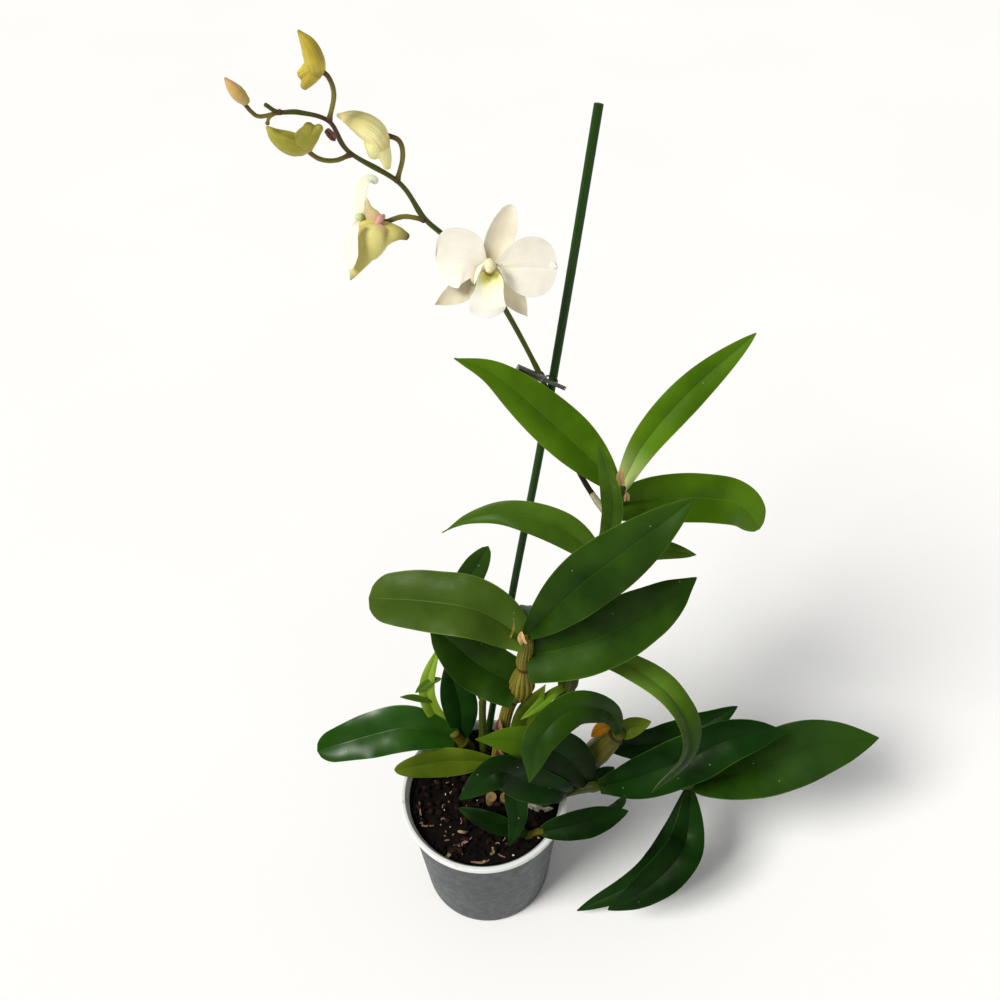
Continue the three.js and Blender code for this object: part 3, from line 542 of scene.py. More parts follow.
def make_finishes():
    """Every look, as the list of its materials. A second one is for a blade's other side."""
    make_groups()
    under = underside_finish()
    looks = {"pot": [pot_finish()], "stake": [stake_finish()], "clip": [clip_finish()]}
    for look, (*colours, more) in LEAF_LOOKS.items():
        looks[look] = [leaf_finish(*colours, **more), under]
    for look, (*colours, more) in STEM_LOOKS.items():
        looks[look] = [stem_finish(*colours, **more)]
    for look, colours in BUD_LOOKS.items():
        looks[look] = [bud_finish(*colours)]
    for look, (*colours, more) in PETAL_LOOKS.items():
        looks[look] = [petal_finish(*colours, **more)]
    for look, values in CRUMB_LOOKS.items():
        looks[look] = [crumb_finish(*values)]
    looks["outer_sepal"].append(petal_finish(
        "outer side of sepal", "e6dc8a", "c2b75c", "dba88c", 0.16, tip="868268", glow=0.15))
    return looks


# ---------------------------------------------------------------- shaping
def only(piece):
    """Selects one piece and nothing else."""
    bpy.ops.object.select_all(action="DESELECT")
    piece.select_set(True)
    bpy.context.view_layer.objects.active = piece


def in_edit(piece, *steps):
    """Runs edit-mode steps with everything on the piece selected."""
    only(piece)
    bpy.ops.object.mode_set(mode="EDIT")
    bpy.ops.mesh.select_all(action="SELECT")
    for step in steps:
        step()
    bpy.ops.object.mode_set(mode="OBJECT")


def close_up(piece):
    """Merges the seam and the poles of a shape and turns its faces out."""
    in_edit(
        piece,
        lambda: bpy.ops.mesh.remove_doubles(threshold=0.002 * MM),
        lambda: bpy.ops.mesh.normals_make_consistent(inside=False),
    )


def modify(piece, kind, **settings):
    """Adds a modifier and applies it."""
    only(piece)
    modifier = piece.modifiers.new(kind.lower(), kind)
    for key, value in settings.items():
        setattr(modifier, key, value)
    bpy.ops.object.modifier_apply(modifier=modifier.name)


def hand_over(piece, name, looks, slot, *nodes, smooth=40):
    """Names a finished piece, paints it and puts it in the frame in place of the given nodes.

    With no looks it keeps the materials that it was made with.
    """
    only(piece)
    piece.name = name
    piece.data.name = name
    bpy.ops.object.transform_apply(location=True, rotation=True, scale=True)
    if looks:
        piece.data.materials.clear()
        for material in FINISHES[looks]:
            piece.data.materials.append(material)
    bpy.ops.object.shade_smooth_by_angle(angle=math.radians(smooth))
    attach(piece, "root")
    if nodes:
        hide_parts(*nodes)


def joined(pieces):
    """Joins pieces into the first of them, and their materials come along."""
    only(pieces[0])
    for piece in pieces:
        piece.select_set(True)
    bpy.ops.object.join()
    return bpy.context.object


def along(pairs, t):
    """A value read along a list of (position 0..1, value) pairs."""
    for (t0, a), (t1, b) in zip(pairs, pairs[1:]):
        if t <= t1:
            return a + (b - a) * (t - t0) / (t1 - t0)
    return pairs[-1][1]


def soft_along(pairs, t, reach=0.03):
    """The same, with its corners rounded."""
    spots = [min(max(t + reach * k / 2, 0), 1) for k in (-2, -1, 0, 1, 2)]
    return sum(along(pairs, s) for s in spots) / len(spots)


class Strand:
    """A smooth line through a few points, walked evenly from 0 to 1."""

    def __init__(self, points):
        self.points = [Vector(p) for p in points]
        self.points.insert(0, 2 * self.points[0] - self.points[1])
        self.points.append(2 * self.points[-1] - self.points[-2])
        marks = [self.spot(i / STRAND_STEPS) for i in range(STRAND_STEPS + 1)]
        self.lengths = [0.0]
        for a, b in zip(marks, marks[1:]):
            self.lengths.append(self.lengths[-1] + (b - a).length)

    def spot(self, u):
        """The point at u, where each stretch between two given points counts the same."""
        spans = len(self.points) - 3
        k = min(int(u * spans), spans - 1)
        f = u * spans - k
        p0, p1, p2, p3 = self.points[k:k + 4]
        m1, m2 = (p2 - p0) / 2, (p3 - p1) / 2
        return (p1 * (2 * f ** 3 - 3 * f ** 2 + 1) + p2 * (3 * f ** 2 - 2 * f ** 3)
                + m1 * (f ** 3 - 2 * f ** 2 + f) + m2 * (f ** 3 - f ** 2))

    def walk(self, t):
        """Where the line is at t, and the way it heads there."""
        goal = min(max(t, 0), 1) * self.lengths[-1]
        k = next((i for i, s in enumerate(self.lengths) if s > goal), len(self.lengths) - 1)
        share = (goal - self.lengths[k - 1]) / max(self.lengths[k] - self.lengths[k - 1], 1e-9)
        u = (k - 1 + share) / (len(self.lengths) - 1)
        ahead = self.spot(min(u + 1e-3, 1)) - self.spot(max(u - 1e-3, 0))
        return self.spot(u), ahead.normalized()


def grid(columns, rows):
    """A flat grid whose corners come in rows and whose UV map runs across and along."""
    bpy.ops.object.select_all(action="DESELECT")
    bpy.ops.mesh.primitive_grid_add(x_subdivisions=columns, y_subdivisions=rows, size=1)
    return bpy.context.object


def tube(spine, radius, around, steps, domes=(0.5, 0.5)):
    """A closed round stem whose radius is radius(t, angle).

    domes are how far its rounded ends stand out, as shares of its radius there.
    """
    line = Strand(spine)
    turns = [math.radians(a) for a in (90, 60, 30)]
    rows = [(0, -math.sin(a) * domes[0], math.cos(a)) for a in turns]
    rows += [(i / steps, 0, 1) for i in range(steps + 1)]
    rows += [(1, math.sin(a) * domes[1], math.cos(a)) for a in reversed(turns)]
    piece = grid(around, len(rows) - 1)
    corners = piece.data.vertices
    for i, (t, out, share) in enumerate(rows):
        middle, ahead = line.walk(t)
        side = ahead.cross(BACK).normalized()
        other = ahead.cross(side)
        for j in range(around + 1):
            angle = TAU * (j % around) / around
            r = radius(t, angle)
            ring = side * math.cos(angle) + other * math.sin(angle)
            spot = middle + ahead * (out * r) + ring * (r * share)
            corners[i * (around + 1) + j].co = spot * MM
    close_up(piece)
    return piece


def swell_at(t, widest, root_width, root_end, tip_end):
    """A blade's share of its full width at t, where no outline gives it."""
    if t < widest:
        return root_width + (1 - root_width) * math.sin(math.pi / 2 * t / widest) ** root_end
    return max(math.cos(math.pi / 2 * (t - widest) / (1 - widest)), 0) ** tip_end


def blade(spine, width, face, looks, cup=0.2, widest=0.5, root_end=0.6, tip_end=0.75, root_width=0.14,
          thick=LEAF_THICK, columns=20, rows=46, arch=0.06, clasp=1.2, wave=0.0, seed=0, dents=(),
          outline=None, curl=None):
    """A leaf or petal along a curve, creased along its midrib.

    face is the way its upper side looks, cup lifts its edges, clasp folds its root more, arch rounds
    each half, wave ripples the edges, and dents are (across, along, breadth, length, height) bumps.
    outline gives the width as shares along the blade, and without one widest, root_width, root_end
    and tip_end do. curl rolls it, in degrees at its edges, in place of cup and arch.
    """
    draw = random.Random(seed)
    line = Strand(spine)
    ways = [Vector(f) for f in face]
    phase = [draw.uniform(0, TAU) for _ in range(3)]
    piece = grid(columns, rows)
    for material in FINISHES[looks]:
        piece.data.materials.append(material)
    body = piece.vertex_groups.new(name="body")
    for i in range(rows + 1):
        s = i / rows  # the rows lie closer together towards the two ends
        t = 0.8 * s + 0.2 * (0.5 - 0.5 * math.cos(math.pi * s))
        middle, ahead = line.walk(t)
        spot = t * (len(ways) - 1)
        k = min(int(spot), max(len(ways) - 2, 0))
        way = ways[k].lerp(ways[min(k + 1, len(ways) - 1)], spot - k)
        side = ahead.cross(way).normalized()
        normal = side.cross(ahead)
        if outline:
            rounding = math.sqrt(max(0, 1 - (max(0, t - 0.88) / 0.12) ** 2))
            share = soft_along(outline, t, 0.08) * rounding
        else:
            share = swell_at(t, widest, root_width, root_end, tip_end)
        half = max(width / 2 * share, LEAST_HALF_WIDTH)
        fold = cup * (1 + clasp * (1 - t) ** 3)
        roll = math.radians(soft_along(curl, t, 0.1)) + 1e-4 if curl else 0.0
        for j in range(columns + 1):
            x = 2 * j / columns - 1
            q = math.copysign(abs(x) ** 1.3, x)
            out = half * q
            lift = half * (fold * abs(q) + arch * math.sin(math.pi * abs(q)))
            if curl:
                out = half * math.sin(roll * q) / roll
                lift = half * (1 - math.cos(roll * q)) / roll
            ripple = (math.sin(TAU * LONG_RIPPLES * t + phase[int(q > 0)])
                      + 0.6 * math.sin(TAU * SHORT_RIPPLES * t + phase[2]))
            lift += wave * ripple * abs(q) ** 2 * min(1, 5 * t) * min(1, 4 * (1 - t) + 0.2)
            for across, at, breadth, length, height in dents:
                lift += height * math.exp(-((q - across) / breadth) ** 2 - ((t - at) / length) ** 2)
            index = i * (columns + 1) + j
            piece.data.vertices[index].co = (middle + side * out + normal * lift) * MM
            body.add([index], max(0.0, 1 - abs(q) ** 6) * min(1, 6 * (1 - t) + 0.1), "REPLACE")
    modify(piece, "SOLIDIFY", thickness=thick * MM, offset=0, vertex_group="body",
           thickness_vertex_group=EDGE_SHARE, use_rim=True, material_offset=1, use_quality_normals=True)
    return piece


def knotted(radii, knots=(), swell=0.16, ribs=0.0, rib_count=12, rib_turns=0, lip=0.0, grain=0.02,
            reach=0.03, oval=0.0, oval_at=0.0):
    """A stem's radius: swollen nodes, flutes, and a sheath that flares a little below each node.

    radii are (along, radius) pairs, and reach is how far their corners are rounded. grain makes the
    skin uneven, and oval makes it wider at the angle oval_at and narrower across it.
    """
    stops = [0, *knots, 1]

    def radius(t, angle):
        r = soft_along(radii, t, reach)
        r *= 1 + sum(swell * math.exp(-2 * ((t - k) / KNOT) ** 2) for k in knots)
        if ribs:
            ends = min(1, min(abs(t - k) for k in stops) / 0.05)
            r *= 1 - ribs * ends * (0.5 - 0.5 * math.cos(rib_count * angle + rib_turns * TAU * t)) ** 2
        low = max(s for s in stops if s <= t)
        high = min((s for s in stops if s > t), default=1.01)
        r += lip * ((t - low) / (high - low)) ** 8
        r *= 1 + oval * math.cos(2 * (angle - oval_at))
        return r * (1 + grain * math.sin(3 * angle + 11 * t) * math.sin(23 * t + angle))

    return radius


# ---------------------------------------------------------------- pot, stake, clip
def wall_radius(z):
    """The outer radius of the pot's wall at a height."""
    return POT_FOOT + (POT_SHOULDER - POT_FOOT) * z / RIM_FOOT


def turned_shell(profile, sides):
    """A closed turned shape: a disc that is extruded and resized from each point to the next."""
    (r0, z0), rest = profile[0], profile[1:]
    bpy.ops.object.select_all(action="DESELECT")
    bpy.ops.mesh.primitive_circle_add(
        vertices=sides, radius=r0 * MM, fill_type="NGON", location=(0, 0, z0 * MM))
    piece = bpy.context.object
    bpy.ops.object.transform_apply(location=True)
    only(piece)
    bpy.ops.object.mode_set(mode="EDIT")
    bpy.ops.mesh.select_all(action="SELECT")
    for r1, z1 in rest:
        bpy.ops.mesh.extrude_region_move(TRANSFORM_OT_translate={"value": (0, 0, (z1 - z0) * MM)})
        bpy.ops.transform.resize(value=(r1 / r0, r1 / r0, 1), center_override=(0, 0, z1 * MM))
        r0, z0 = r1, z1
    bpy.ops.mesh.select_all(action="SELECT")
    bpy.ops.mesh.normals_make_consistent(inside=False)
    bpy.ops.object.mode_set(mode="OBJECT")
    return piece


def make_pot():
    """A tapered shell with a rolled rim, and drain holes in its floor."""
    inner_foot = POT_FOOT - POT_WALL
    pot = turned_shell([
        (POT_FOOT - 3, 0), (POT_FOOT - 1, 0), (POT_FOOT, 1.5),
        *[(wall_radius(z), z) for z in (5, 55, 103)],
        (POT_SHOULDER, RIM_FOOT - 1), (POT_RIM - RIM_ROUND, RIM_FOOT), (POT_RIM, RIM_FOOT + 0.8),
        (POT_RIM, POT_HEIGHT - RIM_ROUND), (POT_RIM - RIM_ROUND, POT_HEIGHT),
        (POT_RIM - RIM_LIP, POT_HEIGHT), (POT_RIM - RIM_LIP - 0.5, POT_HEIGHT - 1),
        *[(wall_radius(z) - POT_WALL, z) for z in (RIM_FOOT, 55)],
        (inner_foot, POT_FLOOR), (inner_foot - 3, POT_FLOOR),
    ], 128)
    modify(pot, "BEVEL", limit_method="ANGLE", angle_limit=math.radians(25), width=0.3 * MM, segments=2)
    drills = []
    for i in range(DRAIN_COUNT):
        angle = TAU * (i + 0.5) / DRAIN_COUNT
        at = Vector((DRAIN_CIRCLE * math.cos(angle), DRAIN_CIRCLE * math.sin(angle), 1)) * MM
        bpy.ops.mesh.primitive_cylinder_add(
            vertices=32, radius=DRAIN_RADIUS * MM, depth=10 * MM, location=at)
        drills.append(bpy.context.object)
    drill = joined(drills)
    modify(pot, "BOOLEAN", operation="DIFFERENCE", object=drill, solver="EXACT")
    bpy.data.objects.remove(drill)
    hand_over(pot, "pot_shell", "pot", "pot", "pot", smooth=30)


STAKE_LINE = [(-8, 32, 30), (2, 44, 105), (24, 70, 249), (42, 88, 356), (57, 105, 455), (72, 126, 556)]


def make_stake():
    """A straight coated stake with low rings on it, cut flat at the top."""
    def radius(t, angle):
        ring = math.exp(-(((t * STAKE_RINGS) % 1 - 0.5) / 0.07) ** 2)
        return STAKE_RADIUS * (0.985 + 0.015 * math.sin(5 * angle)) + 0.06 * ring - 0.04

    rod = tube(STAKE_LINE, radius, around=28, steps=240, domes=(0.5, 0.12))
    hand_over(rod, "stake_rod", "stake", "stake", "stake")


CLIP_AT = Vector((43.3, 91.2, 412))
CLIP_ALONG = Vector((13.9, 0, -8)).normalized()
STAKE_ALONG = Vector((15, 17, 99))
TRAY_ENDS = (-16.2, 0.4)  # where along the clip its tray starts and stops
TRAY_HALVES = (2.4, 2.2)  # half its height at the two ends
TRAY_DEPTH = 1.5  # half its depth
TRAY_WALL = 0.55
TRAY_HOLLOW = 2.6  # how deep it is hollowed
BAR_ENDS = (-1, 15.8)
BAR_HALVES = (1.3, 0.9)
BAR_DEPTH = 1.0
NOTCH_ENDS = (14.6, 16.4)
NOTCH_DEPTH = 0.35
HOOK_RADIUS = 0.6
CLIP_HOOKS = [  # round the stake and round the spike, from the front of the bar and back to it
    [(49.5, 91.4, 408.5), (52.3, 94.5, 406.6), (51.6, 99, 405.8), (48, 100.2, 406.8), (45.6, 97, 408.8),
     (46.2, 92.5, 410)],
    [(43.4, 92.2, 412.2), (44.6, 95, 411.4), (43.4, 98.6, 411), (40.6, 98.8, 411.6), (39.4, 95.8, 412.8),
     (40, 92, 413.8)],
]


def make_clip():
    """A short tray with a narrow bar beyond it, and a hook each round the stake and the spike."""
    up = (STAKE_ALONG - CLIP_ALONG * STAKE_ALONG.dot(CLIP_ALONG)).normalized()
    axes = Matrix((CLIP_ALONG, up.cross(CLIP_ALONG), up)).transposed().to_4x4()

    def block(ends, halves, depth):
        x0, x1 = ends
        bpy.ops.mesh.primitive_cube_add(size=2)
        piece = bpy.context.object
        for corner in piece.data.vertices:
            x, y, z = corner.co
            place = (x0 + x1) / 2 + x * (x1 - x0) / 2
            corner.co = Vector((place, y * halves[int(x > 0)], z * depth)) * MM
        return piece

    tray = block(TRAY_ENDS, TRAY_HALVES, TRAY_DEPTH)
    only(tray)
    bpy.ops.object.mode_set(mode="EDIT")
    bpy.ops.mesh.select_mode(type="FACE")
    bpy.ops.mesh.select_all(action="DESELECT")
    bpy.ops.object.mode_set(mode="OBJECT")
    for face in tray.data.polygons:
        face.select = face.normal.y < -0.5
    bpy.ops.object.mode_set(mode="EDIT")
    bpy.ops.mesh.inset(thickness=TRAY_WALL * MM)
    bpy.ops.mesh.extrude_region_move(TRANSFORM_OT_translate={"value": (0, TRAY_HOLLOW * MM, 0)})
    bpy.ops.object.mode_set(mode="OBJECT")
    bar = block(BAR_ENDS, BAR_HALVES, BAR_DEPTH)
    notch = block(NOTCH_ENDS, (2, 2), NOTCH_DEPTH)
    modify(bar, "BOOLEAN", operation="DIFFERENCE", object=notch, solver="EXACT")
    bpy.data.objects.remove(notch)
    modify(tray, "BOOLEAN", operation="UNION", object=bar, solver="EXACT")
    bpy.data.objects.remove(bar)
    modify(tray, "BEVEL", limit_method="ANGLE", angle_limit=math.radians(40), width=0.18 * MM,
           segments=2)
    tray.matrix_world = Matrix.Translation(CLIP_AT * MM) @ axes
    hooks = [tube(points, lambda t, angle: HOOK_RADIUS, 12, 24) for points in CLIP_HOOKS]
    clip = joined([tray, *hooks])
    hand_over(clip, "clip_channel", "clip", "clip", "clip", smooth=30)


# ---------------------------------------------------------------- potting mix
MIX_GAP = 0.35  # between the mix and the pot
MIX_EDGE = 1.6  # how far the mix sinks towards the wall
MIX_RINGS = 27
CRUMB_REACH = 51
SHRED_REACH = 49
LOOSE_SHREDS = 34
CRUMBS = [  # look, count, sizes, how flat they are, and how far they stand out
    ("soil", 260, (0.7, 2.0), (0.5, 0.9), 0.3),
    ("bark", 90, (1.0, 3.0), (0.3, 0.7), 0.3),
    ("chip", 26, (0.5, 1.3), (0.3, 0.6), 0.6),
    ("perlite", 22, (0.3, 0.9), (0.7, 1.0), 0.6),
]
SHREDS = [  # fibres and chips that stand out on the mix
    ([(-47, -4), (-46, -13), (-44, -22)], 1.3, "fibre"),
    ([(-45, -22), (-41, -23), (-36, -23)], 1.2, "fibre"),
    ([(-19, -28), (-15, -29), (-12, -28)], 2.0, "chip"),
    ([(-22, -39), (-16, -37), (-9, -33)], 2.2, "fibre"),
    ([(-24, -41), (-22, -39), (-21, -37)], 2.0, "chip"),
    ([(-27, -46), (-25, -44), (-24, -41)], 2.4, "chip"),
    ([(4, -46), (6, -43), (5, -40)], 2.0, "chip"),
    ([(-10, -50), (-2, -51), (3, -49)], 1.4, "fibre"),
    ([(31, -10), (40, -12), (49, -12)], 4.5, "paper"),
    ([(-12, 22), (-8, 20), (-4, 21)], 1.2, "fibre"),
]


def crumb_height(x, y):
    """The low relief of the mix."""
    return (0.9 * math.sin(x * 0.31 + 1.3) * math.cos(y * 0.27) + 0.5 * math.sin(x * 0.83 + y * 0.57)
            + 0.4 * math.cos(x * 1.31 - y * 1.13))


def soil_height(x, y):
    """The height of the mix, which is lowest along the wall of the pot."""
    radius = math.hypot(x, y)
    heap = along([(0, 1), (11, 1), (22, 0.6), (33, 0), (43, -0.6), (53.6, -MIX_EDGE), (60, -MIX_EDGE)],
                 radius)
    return SOIL_TOP + heap + (crumb_height(x, y) if radius < 52 else 0)


def scatter_crumbs(draw, looks, count, size, flat, lift):
    """Low-faced lumps, each turned and squashed its own way, half sunk in the mix."""
    lumps = []
    for _ in range(count):
        r = CRUMB_REACH * math.sqrt(draw.random())
        a = draw.uniform(0, TAU)
        x, y = r * math.cos(a), r * math.sin(a)
        big = draw.uniform(*size)
        bpy.ops.mesh.primitive_ico_sphere_add(subdivisions=1, radius=big * MM)
        lump = bpy.context.object
        turn = (Matrix.Rotation(draw.uniform(0, TAU), 3, "Z")
                @ Matrix.Rotation(draw.uniform(-0.7, 0.7), 3, "X"))
        scale = Vector((draw.uniform(0.8, 1.5), draw.uniform(0.55, 1.0), draw.uniform(*flat)))
        place = Vector((x, y, soil_height(x, y) + lift * big)) * MM
        for corner in lump.data.vertices:
            jog = 1 + draw.uniform(-0.22, 0.22)
            corner.co = turn @ (corner.co * scale * jog) + place
        lump.data.materials.append(FINISHES[looks][0])
        lumps.append(lump)
    return lumps


def strip(spine, width, looks, seed):
    """A short fibre or shred, with its own material."""
    return blade(spine, width, [(0, -0.5, 1)], looks, columns=4, rows=12, thick=0.5, seed=seed,
                 wave=0.15 * width, root_width=0.5, tip_end=0.5, cup=0.3)


def on_soil(points, lift=0.8):
    """Points laid out on the mix, a little above it."""
    return [(x, y, soil_height(x, y) + lift) for x, y in points]


def make_mix():
    """A crumbled bed that fills the pot, and the fibres, chips and shreds that lie on it."""
    draw = random.Random(7)
    wall = wall_radius(SOIL_TOP) - POT_WALL - MIX_GAP
    foot = wall_radius(3) - POT_WALL - 0.65
    body = turned_shell([(foot, POT_FLOOR + MIX_GAP), (wall, SOIL_TOP - MIX_EDGE)], 96)
    for _ in range(MIX_RINGS - 1):
        only(body)
        bpy.ops.object.mode_set(mode="EDIT")
        bpy.ops.mesh.select_mode(type="FACE")
        bpy.ops.object.mode_set(mode="OBJECT")
        for face in body.data.polygons:
            face.select = face.normal.z > 0.99
        bpy.ops.object.mode_set(mode="EDIT")
        bpy.ops.mesh.inset(thickness=wall / MIX_RINGS * MM)
        bpy.ops.object.mode_set(mode="OBJECT")
        for face in body.data.polygons:
            face.select = False
    for corner in body.data.vertices:
        x, y, z = corner.co / MM
        if z > SOIL_TOP - 3 and math.hypot(x, y) < wall - 0.5:
            corner.co.z = (soil_height(x, y) + draw.uniform(-0.7, 0.7)) * MM
    body.data.materials.append(FINISHES["soil"][0])
    parts = [body]
    for crumbs in CRUMBS:
        parts += scatter_crumbs(draw, *crumbs)
    hand_over(joined(parts), "mix_bed", None, "potting_mix", "potting_mix", smooth=25)
    shreds = []
    for k, (points, width, looks) in enumerate(SHREDS):
        shreds.append(strip(on_soil(points), width, looks, seed=40 + k))
    for k in range(LOOSE_SHREDS):
        r = SHRED_REACH * math.sqrt(draw.random())
        a = draw.uniform(0, TAU)
        turn = draw.uniform(0, TAU)
        x, y, reach = r * math.cos(a), r * math.sin(a), draw.uniform(2, 6)
        far = (x + reach * math.cos(turn), y + reach * math.sin(turn))
        if math.hypot(*far) < CRUMB_REACH:
            middle = ((x + far[0]) / 2 + draw.uniform(-1, 1), (y + far[1]) / 2 + draw.uniform(-1, 1))
            looks = draw.choice(["fibre", "bark", "bark", "chip"])
            line = on_soil([(x, y), middle, far], 1.0)
            shreds.append(strip(line, draw.uniform(0.5, 1.1), looks, seed=80 + k))
    hand_over(joined(shreds), "mix_shreds", None, "potting_mix", smooth=40)


# ---------------------------------------------------------------- canes
CANES = {
    "cane_front": dict(
        looks="old_cane", slot="old_cane", around=84, steps=200, ribs=0.1, rib_count=14, rib_turns=5,
        knots=[0.35, 0.6, 0.798], swell=-0.1, reach=0.008,
        spine=[(8, 25, 78), (9, 24, 106), (18, 22, 179), (28, 20, 211), (30, 18, 244), (32, 16, 262),
               (30, 15, 272)],
        radii=[(0, 4.6), (0.3, 4.8), (0.48, 4.4), (0.585, 4.4), (0.615, 5.4), (0.65, 7.9), (0.7, 8.9),
               (0.745, 7.9), (0.78, 5.2), (0.798, 3.7), (0.812, 5), (0.84, 5.5), (0.9, 4.7),
               (0.96, 3.7), (1, 3.1)]),
    "cane_tall": dict(
        looks="cane", slot="cane", around=32, steps=120, lip=0.7,
        knots=[0.19, 0.32, 0.45, 0.58, 0.71, 0.83, 0.93],
        spine=[(37, 15, 76), (41, 16, 104), (58, 26, 195), (70, 35, 260), (77, 42, 310), (82, 47, 342),
               (88, 50, 364)],
        radii=[(0, 4), (0.1, 4.6), (0.3, 6), (0.5, 5.8), (0.75, 4.4), (1, 2.8)]),
    "cane_left": dict(
        looks="bulb", slot="bulb", around=32, steps=50, knots=[0.5, 0.8], lip=0.6,
        spine=[(-13, 40, 78), (-14, 39, 102), (-17, 38, 116), (-21, 38, 128)],
        radii=[(0, 5.4), (0.5, 7), (0.8, 6), (1, 4)]),
    "cane_back": dict(
        looks="cane", slot="cane", around=24, steps=60, knots=[0.5, 0.9], lip=0.4,
        spine=[(0, 32, 80), (0, 34, 106), (0, 38, 140), (1, 46, 168)],
        radii=[(0, 2.6), (0.5, 3.2), (1, 2.2)]),
    "cane_bulb": dict(
        looks="bulb", slot="bulb", around=40, steps=90, knots=[0.36, 0.66, 0.94], swell=0.07, lip=0.7,
        spine=[(34, 5, 84), (41, 6, 104), (58, 8, 122), (76, 10, 136), (85, 11, 150), (90, 11, 160),
               (95, 10, 168)],
        radii=[(0, 3.6), (0.3, 4.6), (0.5, 7.4), (0.72, 9.4), (0.88, 8.4), (1, 4.6)]),
    "cane_low": dict(
        looks="cane", slot="cane", around=28, steps=100, knots=[0.25, 0.45, 0.66, 0.95], lip=0.5,
        spine=[(34, -8, 86), (44, -8, 108), (60, -8, 122), (82, -7, 127), (116, -2, 119), (151, 4, 104)],
        radii=[(0, 3.2), (0.4, 3.8), (1, 3)]),
    "cane_small": dict(
        looks="bulb", slot="cane", around=24, steps=40, knots=[0.65], lip=0.4,
        spine=[(26, -32, 88), (29, -32, 102), (36, -33, 112), (40, -35, 117)],
        radii=[(0, 2.4), (1, 2.4)]),
    "cane_stub_1": dict(
        looks="stub", slot="dry_husk", around=24, steps=24, domes=(0.5, 0.1),
        spine=[(2, -3, 84), (4, -4, 98), (5, -5, 112)], radii=[(0, 3.4), (1, 3.8)]),
    "cane_stub_2": dict(
        looks="stub", slot="dry_husk", around=24, steps=24, domes=(0.5, 0.1),
        spine=[(13, -2, 84), (14, -3, 98), (15, -5, 111)], radii=[(0, 3.2), (1, 3.6)]),
}
SHAPE_KEYS = ("knots", "swell", "ribs", "rib_count", "rib_turns", "lip", "reach")


def make_canes():
    """Each cane, bulb and cut stub, grown from the mix."""
    for node, cane in CANES.items():
        shape = {key: cane[key] for key in SHAPE_KEYS if key in cane}
        piece = tube(cane["spine"], knotted(cane["radii"], **shape), cane["around"], cane["steps"],
                     cane.get("domes", (0.5, 0.5)))
        hand_over(piece, node.replace("cane", "stem"), cane["looks"], cane["slot"], node)


# ---------------------------------------------------------------- leaves
OUT = (0, -0.7, 0.7)  # the way most upper faces look
SHEATH_WIDTH = 4.6
BLUNT = [(0, 0.4), (0.15, 0.72), (0.4, 1), (0.7, 0.97), (0.88, 0.82), (1, 0.62)]
FULL_ROOT = [(0, 0.8), (0.12, 0.93), (0.35, 1), (0.55, 0.96), (0.78, 0.72), (0.92, 0.36), (1, 0.03)]
SQUARE_END = [(0, 0.35), (0.15, 0.7), (0.35, 0.98), (0.6, 0.95), (0.85, 0.7), (1, 0.52)]
HANGING = [(0, 0.6), (0.12, 0.86), (0.35, 1), (0.7, 0.97), (0.88, 0.72), (1, 0.4)]
EARLY = [(0, 0.18), (0.05, 0.42), (0.14, 0.76), (0.3, 0.95), (0.5, 1), (0.75, 0.8), (0.92, 0.38),
         (1, 0.03)]
SWOLLEN = [(0, 0.2), (0.06, 0.5), (0.18, 0.88), (0.36, 1), (0.6, 0.84), (0.8, 0.52), (0.93, 0.2),
           (1, 0.03)]
HOOKED = [(0, 0.22), (0.12, 0.3), (0.28, 0.56), (0.42, 0.82), (0.6, 1), (0.8, 0.8), (0.92, 0.42),
          (1, 0.04)]
WIDE_TIP = [(0, 0.3), (0.3, 0.8), (0.7, 1), (0.9, 0.8), (1, 0.5)]
